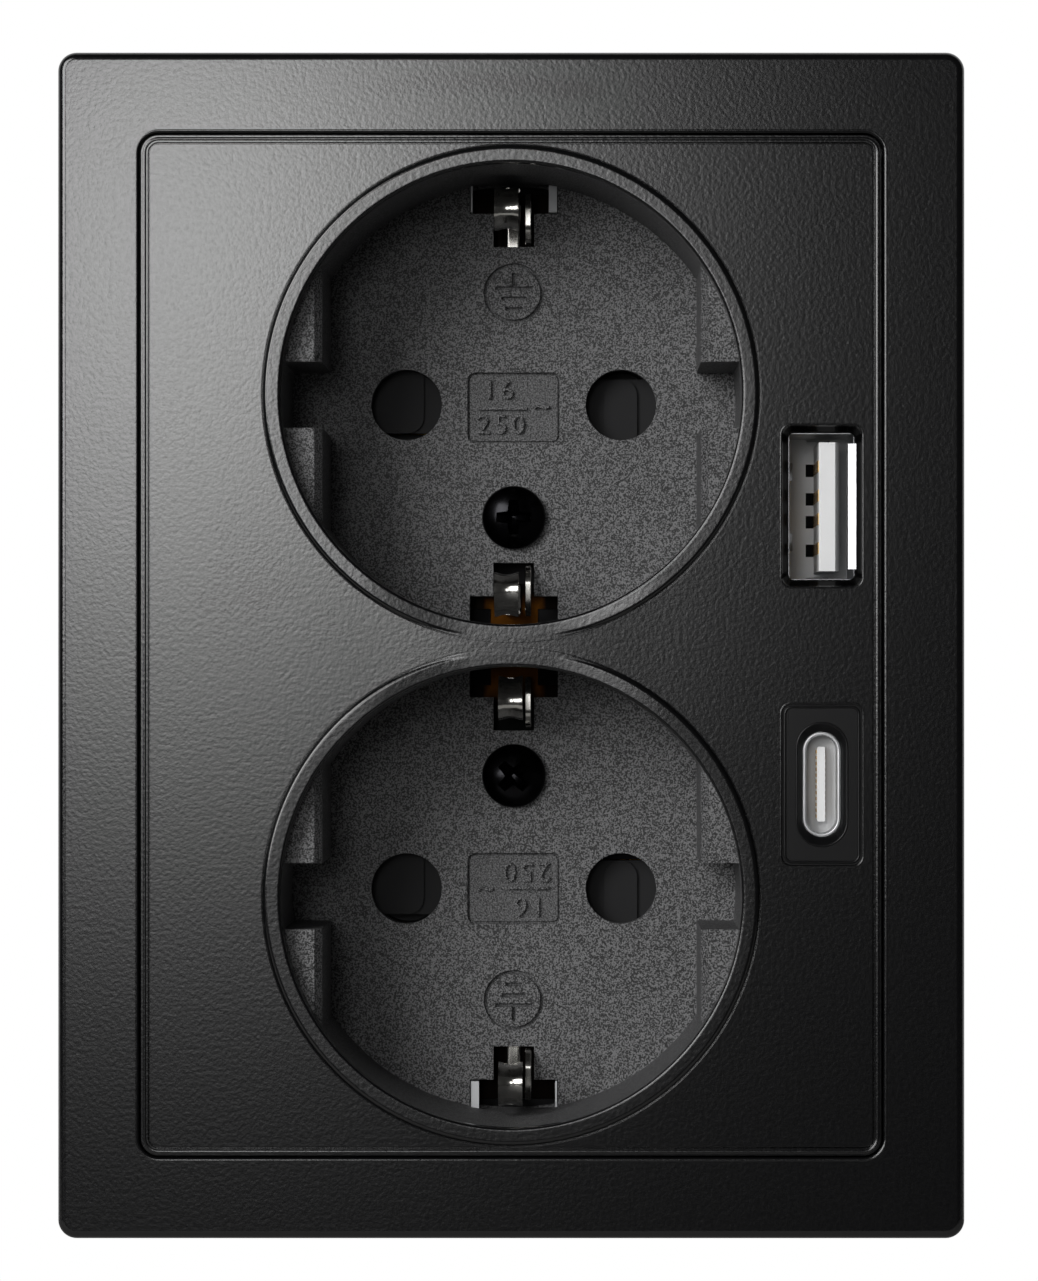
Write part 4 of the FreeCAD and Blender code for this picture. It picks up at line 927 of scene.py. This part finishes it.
def addStrip(shape, points, radius, thickness, x0, x1, dish=0.0):
    # A strip of sheet along a path of (y, z) points, with its edges at x0 and x1 lifted by the dish.
    path = bentPath(points, radius)
    soft = min(0.1, thickness / 4)
    shares = [i / 8 for i in range(9)]
    rows = []
    for i, point in enumerate(path):
        before, after = Vector(path[max(0, i - 1)]), Vector(path[min(len(path) - 1, i + 1)])
        along = (after - before).normalized()
        lift = Vector((-along.y, along.x))
        if path[-1][1] > path[0][1]:
            lift = -lift
        row = []
        for share in shares:
            edge = soft if share in (0, 1) else 0.0
            place = Vector(point) - lift * (thickness / 2 - edge + dish * (2 * share - 1) ** 2)
            row.append((x0 + (x1 - x0) * share, *place))
        for share in reversed(shares):
            edge = soft if share in (0, 1) else 0.0
            place = Vector(point) + lift * (thickness / 2 - edge - dish * (2 * share - 1) ** 2)
            row.append((x0 + (x1 - x0) * share, *place))
        rows.append(row)
    addLoft(shape, rows)


def makeClip(node, cupSide, side):
    sizes = clipDetail
    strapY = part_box(node)[1].y / mm - 0.25
    shape = newShape()

    def placed(points):
        return [(y, cupSide * cup + side * away) for y, away in points]

    shift, half = sizes["noseShift"][cupSide], sizes["noseWidth"] / 2
    nose = sizes["nosePath"]
    addStrip(shape, placed(nose), 1.0, sizes["thickness"], shift - half, shift + half, sizes["noseDish"])
    foot = [(nose[0][0] - 0.2, 18.45), (-1.6, 18.45), (strapY, 18.0),
            (strapY, sizes["footStart"][side * cupSide])]
    addStrip(shape, placed(foot), 0.7, sizes["thickness"], *sizes["footX"])
    addStrip(shape, placed(sizes["cheekPath"]), 0.8, sizes["cheekThickness"], *sizes["cheekX"])
    names = {(1, 1): "earthClipUpperOuter", (1, -1): "earthClipUpperInner",
             (-1, 1): "earthClipLowerInner", (-1, -1): "earthClipLowerOuter"}
    piece = pieceFrom(names[cupSide, side], shape, True)
    smoothByAngle(piece, 40)
    dress(piece, "clip_nickel")
    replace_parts(piece, node)


for node, cupSide, side in (("upper_outer_earth_clip", 1, 1), ("upper_inner_earth_clip", 1, -1),
                            ("lower_inner_earth_clip", -1, 1), ("lower_outer_earth_clip", -1, -1)):
    makeClip(node, cupSide, side)

slotGuide = {
    "farSide": (3.1, 3.82),  # mm from the middle, the broad face
    "nearSide": (3.66, 3.82),
    "reach": (17.1, 19.55),  # mm from the cup's axis
    "depth": (0.25, 1.3),    # mm below the cup floor
}


def makeGuides():
    # Moulded faces that show in the corners of the two outer slots, in a paler copy of the grey cover plastic:
    # painted light.
    sizes = slotGuide
    shape = newShape()
    for side in (1, -1):
        z = sorted(side * (cup + away) for away in sizes["reach"])
        y = [floor + away for away in sizes["depth"]]
        addBlock(shape, sorted(side * x for x in sizes["farSide"]), y, z)
        addBlock(shape, sorted(-side * x for x in sizes["nearSide"]), y, z)
    # Painted light: the guides get a paler copy of the cover plastic, as if lit.
    pale = mouldedPolyamide("litGuidePolyamide", "#d2d3d5", 0.5, 0.2)
    dress(pieceFrom("outerSlotGuides", shape), "cover_plastic", pale)


makeGuides()
print("clips made")


# USB ports: notched block and tongue, contacts, lips and rims

portDetail = {
    "tongueX": (-0.17, 1.2, 1.62),   # mm from the port's middle: left, end of the flat front, right
    "tongueHalf": 5.5,
    "tongueFront": 1.8,      # mm behind the plate's face
    "blockFront": 11.7,
    "notchX": (-0.85, 0.4),
    "notchHeights": (3.5, 1.0, -1.0, -3.5),
    "notchHalf": 0.55,
    "notchDeep": 2.4,
    "slitX": (-0.8, 1.2),    # the fine slits over and under the notches
    "slitHeights": (6.0, -6.0),
    "slitHalf": 0.14,
    "slitDeep": 1.5,
    "lip": (2.28, 2.96),     # the bright spring lip on the right
    "lipHalf": 5.35,
    "tabHeights": (3.0, -3.0),
    "tabHalf": 0.75,
    "shellWall": 0.28,
    "contactThick": 0.05,
    "opening": (7.03, 13.93, 0.9),   # width, height and corner of both openings in the plate
    "openingRound": 0.14,
    "bezelRim": (6.3, 13.2, 0.62, 0.12),     # the same, and the rim's radius
    "holeRim": (4.3, 10.5, 2.14, 0.1),
    "shellRim": (2.92, 8.66, 1.45, 0.14),
    "cTongue": (0.7, 6.4, 0.12),
    "cBlockDeep": 1.6,       # mm from the lower tongue's tip to its block
}
rows = rowTree()


def makeContacts(name, node, runs, height):
    # Gold strips in rows; a run is the row's x, its lowest z, its count and its step.
    low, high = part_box(node)
    y, size = (high.y + low.y) / 2 / mm, (portDetail["contactThick"], (high.y - low.y) / mm, height)
    strips = [grown(rows, "contactRow", {"Count": count, "Start": Vector((x, y, z)) * mm,
                                         "Step": Vector((0, 0, step)) * mm, "Size": Vector(size) * mm,
                                         "Material": materials["contact_gold"]})
              for x, z, count, step in runs]
    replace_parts(dress(joinedAs(name, strips), "contact_gold"), node)


def addNotches(shape, middle, front, spare):
    # The four notches that the contacts lie in; the spare keeps a dark fill just inside each notch, painted
    # shade for the deep contact tunnels.
    sizes = portDetail
    x, z = middle
    left, right = sizes["notchX"]
    half = sizes["notchHalf"] - spare
    for height in sizes["notchHeights"]:
        addBlock(shape, (x + left + spare, x + right - spare), (front, front + sizes["notchDeep"] - spare),
                 (z + height - half, z + height + half))


def makeUsbA():
    sizes = portDetail
    x, z = middle = usbX / mm, usbZ / mm
    low, high = (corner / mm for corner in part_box("usb_a_tongue"))
    front = face + sizes["blockFront"]
    body, notches, tongue, notchShade = newShape(), newShape(), newShape(), newShape()
    addBlock(body, (low.x, high.x), (front, high.y), (low.z, high.z))
    addNotches(notches, middle, front, 0.0)
    for height in sizes["slitHeights"]:
        addBlock(notches, [x + away for away in sizes["slitX"]], (front - 0.5, front + sizes["slitDeep"]),
                 (z + height - sizes["slitHalf"], z + height + sizes["slitHalf"]))
    block = combined(pieceFrom("usbABlock", body), pieceFrom("usbANotches", notches))
    left, flat, right = (x + away for away in sizes["tongueX"])
    tip = face + sizes["tongueFront"]
    outline = [(left, front + 0.3), (left, tip + 0.12), (left + 0.12, tip), (flat, tip),
               (flat + 0.2, tip + 0.2), (right - 0.08, tip + 0.8), (right, tip + 1.3), (right, front + 0.3)]
    addPrism(tongue, outline, z - sizes["tongueHalf"], z + sizes["tongueHalf"])
    piece = smoothByAngle(joinedAs("usbATongueMoulded", [block, pieceFrom("usbATongue", tongue)]), 35)
    dress(piece, "tongue_plastic")
    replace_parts(piece, "usb_a_tongue")
    # Dark blocks fill the notches as painted shade, where the deep contact tunnels lie in darkness.
    addNotches(notchShade, middle, front, 0.01)
    dress(pieceFrom("usbANotchShade", notchShade), "carrier_plastic")
    stripX = left - sizes["contactThick"] / 2
    makeContacts("usbAContactStrips", "usb_a_contacts",
                 [(stripX, z - edge, 2, 2 * edge) for edge in sizes["notchHeights"][:2]], 1.0)


def makeLips():
    # The spring lip and the two tabs inside the upper port's shell.
    sizes = portDetail
    x, z = usbX / mm, usbZ / mm
    steel = newShape()
    inner, outer = (x + away for away in sizes["lip"])
    lip = [(inner, face + 1.28), (outer, face + 1.02), (outer, face + 1.24), (inner + 0.1, face + 1.5)]
    addPrism(steel, lip, z - sizes["lipHalf"], z + sizes["lipHalf"])
    wall = usbALow.x / mm + sizes["shellWall"]
    tab = [(wall, face + 1.9), (wall + 0.36, face + 2.6), (wall + 0.3, face + 4.6), (wall, face + 4.8)]
    for height in sizes["tabHeights"]:
        addPrism(steel, tab, z + height - sizes["tabHalf"], z + height + sizes["tabHalf"])
    dress(pieceFrom("usbASpringLips", steel), "port_steel")


def makeUsbC():
    sizes = portDetail
    x, z = middle = usbX / mm, -usbZ / mm
    low, high = (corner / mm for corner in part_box("usb_c_tongue"))
    width, height = high.x - low.x, high.z - low.z
    block, tongue = newShape(), newShape()
    front = low.y + sizes["cBlockDeep"]
    addSlab(block, roundedLoop(width, height, width / 2 - 0.001, middle, 12), front, high.y)
    addSlab(tongue, roundedLoop(*sizes["cTongue"], middle, 4), low.y, front + 0.2)
    parts = [pieceFrom("usbCBlock", block), pieceFrom("usbCTongue", tongue)]
    piece = smoothByAngle(joinedAs("usbCTongueMoulded", parts))
    dress(piece, "tongue_plastic")
    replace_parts(piece, "usb_c_tongue")
    aside = (sizes["cTongue"][0] + sizes["contactThick"]) / 2
    makeContacts("usbCContactStrips", "usb_c_contacts",
                 [(x + side * aside, z - 2.75, 12, 0.5) for side in (1, -1)], 0.27)


def makeRims():
    # Rounded edges of both port openings and the stepped rim of the lower port.
    sizes = portDetail
    x, z, radius = usbX / mm, usbZ / mm, sizes["openingRound"]
    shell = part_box("usb_c_shell")[0].y / mm
    # Painted highlight: a paler, rougher copy of the shell's steel, so that the shell's rim shows bright all
    # round.
    edge = platedMetal("shellEdgePaintedHighlight", "#e8e9ea", 0.55, 0.2, "#d0d1d3")
    makeTrim("usbCShellEdge", *sizes["shellRim"], (x, shell + 0.1, -z), "port_steel", edge)
    makeTrim("usbAOpeningRim", *sizes["opening"], radius, (x, face + radius - 0.02, z), "plate_plastic")
    makeTrim("usbCOpeningRim", *sizes["opening"], radius, (x, face + radius - 0.02, -z), "plate_plastic")
    makeTrim("usbCBezelRim", *sizes["bezelRim"], (x, face + 0.22, -z), "bezel_plastic")
    makeTrim("usbCHoleRim", *sizes["holeRim"], (x, face + 0.24, -z), "bezel_plastic")


makeUsbA()
makeLips()
makeUsbC()
makeRims()
print("ports made")


# Stage, light and camera

stage = {
    "floorColour": "#e9e8e6",
    "floorDrop": 20.0,       # mm below the frame
    "floorX": (-300.0, 300.0),
    "floorY": (-100.0, 90.0),        # short, so that it doesn't light the frame from below
    "keyWatts": 7.0,
    "keySize": (0.45, 0.60),
    "keyPlace": (-0.50, -0.75, 0.30),
    "panelWatts": 12.0,      # gives the plate its sheen, at the upper left
    "panelSize": (0.50, 0.64),
    "panelPlace": (-0.107, -0.922, 0.117),
    "panelFade": (0.0535, 0.080),
    "roomLevel": 0.03,
    "faceScale": 11.756,     # photo pixels per mm at the plate
    "focal": 4875.0,         # photo pixels
    "axisPixel": (577.0, 680.0),     # where the camera looks straight at the plate
    "imageSize": (1038, 1281),
    "sensor": 36.0,          # mm, along the image's longer side
    "cameraX": 5.6,
    "cameraZ": -2.95,
}


def paleFloor():
    # Matt painted board: plain and pale.
    material, tree, shader, place = startMaterial("paleMattBoard")
    fibre = addNode(tree, "ShaderNodeTexNoise", inputs={"Scale": 1 / (3 * mm), "Detail": 4.0},
                    links={"Vector": place})
    tint = addNode(tree, "ShaderNodeMix", {"data_type": "RGBA"},
                   {6: hexColour(stage["floorColour"]), 7: hexColour("#e4e3e1")}, {0: (fibre, "Fac")})
    tree.links.new(tint.outputs[2], shader.inputs["Base Color"])
    shader.inputs["Roughness"].default_value = 0.8
    return material


def makeStage():
    low = cadBox[0]
    z = low[2] - stage["floorDrop"] * mm
    (left, right), (front, back) = stage["floorX"], stage["floorY"]
    corners = ((left, front), (right, front), (right, back), (left, back))
    board = meshPiece("floor", [(x * mm, y * mm, z) for x, y in corners], [(0, 1, 2, 3)], False)
    board.data.materials.append(paleFloor())


def makeWorld():
    # White backdrop behind the object for the camera and for what metal mirrors; a dim studio in front.
    world = bpy.data.worlds.new("studio")
    bpy.context.scene.world = world
    world.use_nodes = True
    tree = world.node_tree
    place = addNode(tree, "ShaderNodeTexCoord")
    split = addNode(tree, "ShaderNodeSeparateXYZ", links={"Vector": (place, "Generated")})
    behind = addNode(tree, "ShaderNodeMapRange", {"clamp": True}, {"From Min": 0.0, "From Max": 0.35},
                     {"Value": (split, "Y")})
    path = addNode(tree, "ShaderNodeLightPath")
    mirrored = addNode(tree, "ShaderNodeMath", {"operation": "MAXIMUM"},
                       links={0: (path, "Is Glossy Ray"), 1: (path, "Is Transmission Ray")})
    mirroredBack = addNode(tree, "ShaderNodeMath", {"operation": "MULTIPLY"},
                           links={0: (mirrored, "Value"), 1: (behind, "Result")})
    shown = addNode(tree, "ShaderNodeMath", {"operation": "MAXIMUM"},
                    links={0: (path, "Is Camera Ray"), 1: (mirroredBack, "Value")})
    level = addNode(tree, "ShaderNodeMapRange", inputs={"To Min": stage["roomLevel"], "To Max": 1.0},
                    links={"Value": (shown, "Value")})
    tree.links.new(level.outputs["Result"], tree.nodes["Background"].inputs["Strength"])
    tree.nodes["Background"].inputs["Color"].default_value = (1, 1, 1, 1)


def aim(thing, target):
    thing.rotation_euler = (Vector(target) - thing.location).to_track_quat("-Z", "Y").to_euler()


def areaLight(name, size, place, target, watts):
    lamp = bpy.data.lights.new(name, "AREA")
    lamp.shape = "RECTANGLE"
    lamp.size, lamp.size_y = size
    lamp.energy = watts
    light = newObject(name, lamp)
    light.location = place
    aim(light, target)
    return lamp


def fadeOut(lamp, spread):
    # A panel that is brightest in its middle and fades to its edges, as a lamp behind thick cloth does.
    lamp.use_nodes = True
    tree = lamp.node_tree
    emission = tree.nodes["Emission"]
    geometry = addNode(tree, "ShaderNodeNewGeometry")
    centred = addNode(tree, "ShaderNodeVectorMath", {"operation": "SUBTRACT"}, {1: (0.5, 0.5, 0.0)},
                      {0: (geometry, "Parametric")})
    scaled = addNode(tree, "ShaderNodeVectorMath", {"operation": "MULTIPLY"},
                     {1: (lamp.size / spread[0], lamp.size_y / spread[1], 0.0)}, {0: (centred, "Vector")})
    square = addNode(tree, "ShaderNodeVectorMath", {"operation": "DOT_PRODUCT"},
                     links={0: (scaled, "Vector"), 1: (scaled, "Vector")})
    half = addNode(tree, "ShaderNodeMath", {"operation": "MULTIPLY"}, {1: -0.5}, {0: (square, "Value")})
    bell = addNode(tree, "ShaderNodeMath", {"operation": "EXPONENT"}, links={0: (half, "Value")})
    tree.links.new(bell.outputs["Value"], emission.inputs["Strength"])


def makeLights():
    target = (0, faceY, 0)
    areaLight("keySoftbox", stage["keySize"], stage["keyPlace"], target, stage["keyWatts"])
    panelPlace = Vector(stage["panelPlace"])
    panel = areaLight("sheenPanel", stage["panelSize"], panelPlace, panelPlace + Vector((0, 1, 0)),
                      stage["panelWatts"])
    fadeOut(panel, stage["panelFade"])


def makeCamera():
    camera = bpy.data.cameras.new("camera")
    width, height = stage["imageSize"]
    camera.sensor_width = stage["sensor"]
    camera.lens = stage["focal"] / height * stage["sensor"]
    camera.shift_x = (width / 2 - stage["axisPixel"][0]) / height
    camera.shift_y = (stage["axisPixel"][1] - height / 2) / height
    camera.clip_start = 0.01
    eye = newObject("camera", camera)
    distance = stage["focal"] / stage["faceScale"] * mm
    eye.location = (stage["cameraX"] * mm, faceY - distance, stage["cameraZ"] * mm)
    eye.rotation_euler = (math.pi / 2, 0, 0)
    bpy.context.scene.camera = eye


makeStage()
makeWorld()
makeLights()
makeCamera()
bpy.context.scene.view_settings.view_transform = "Standard"
print("stage, light and camera set")
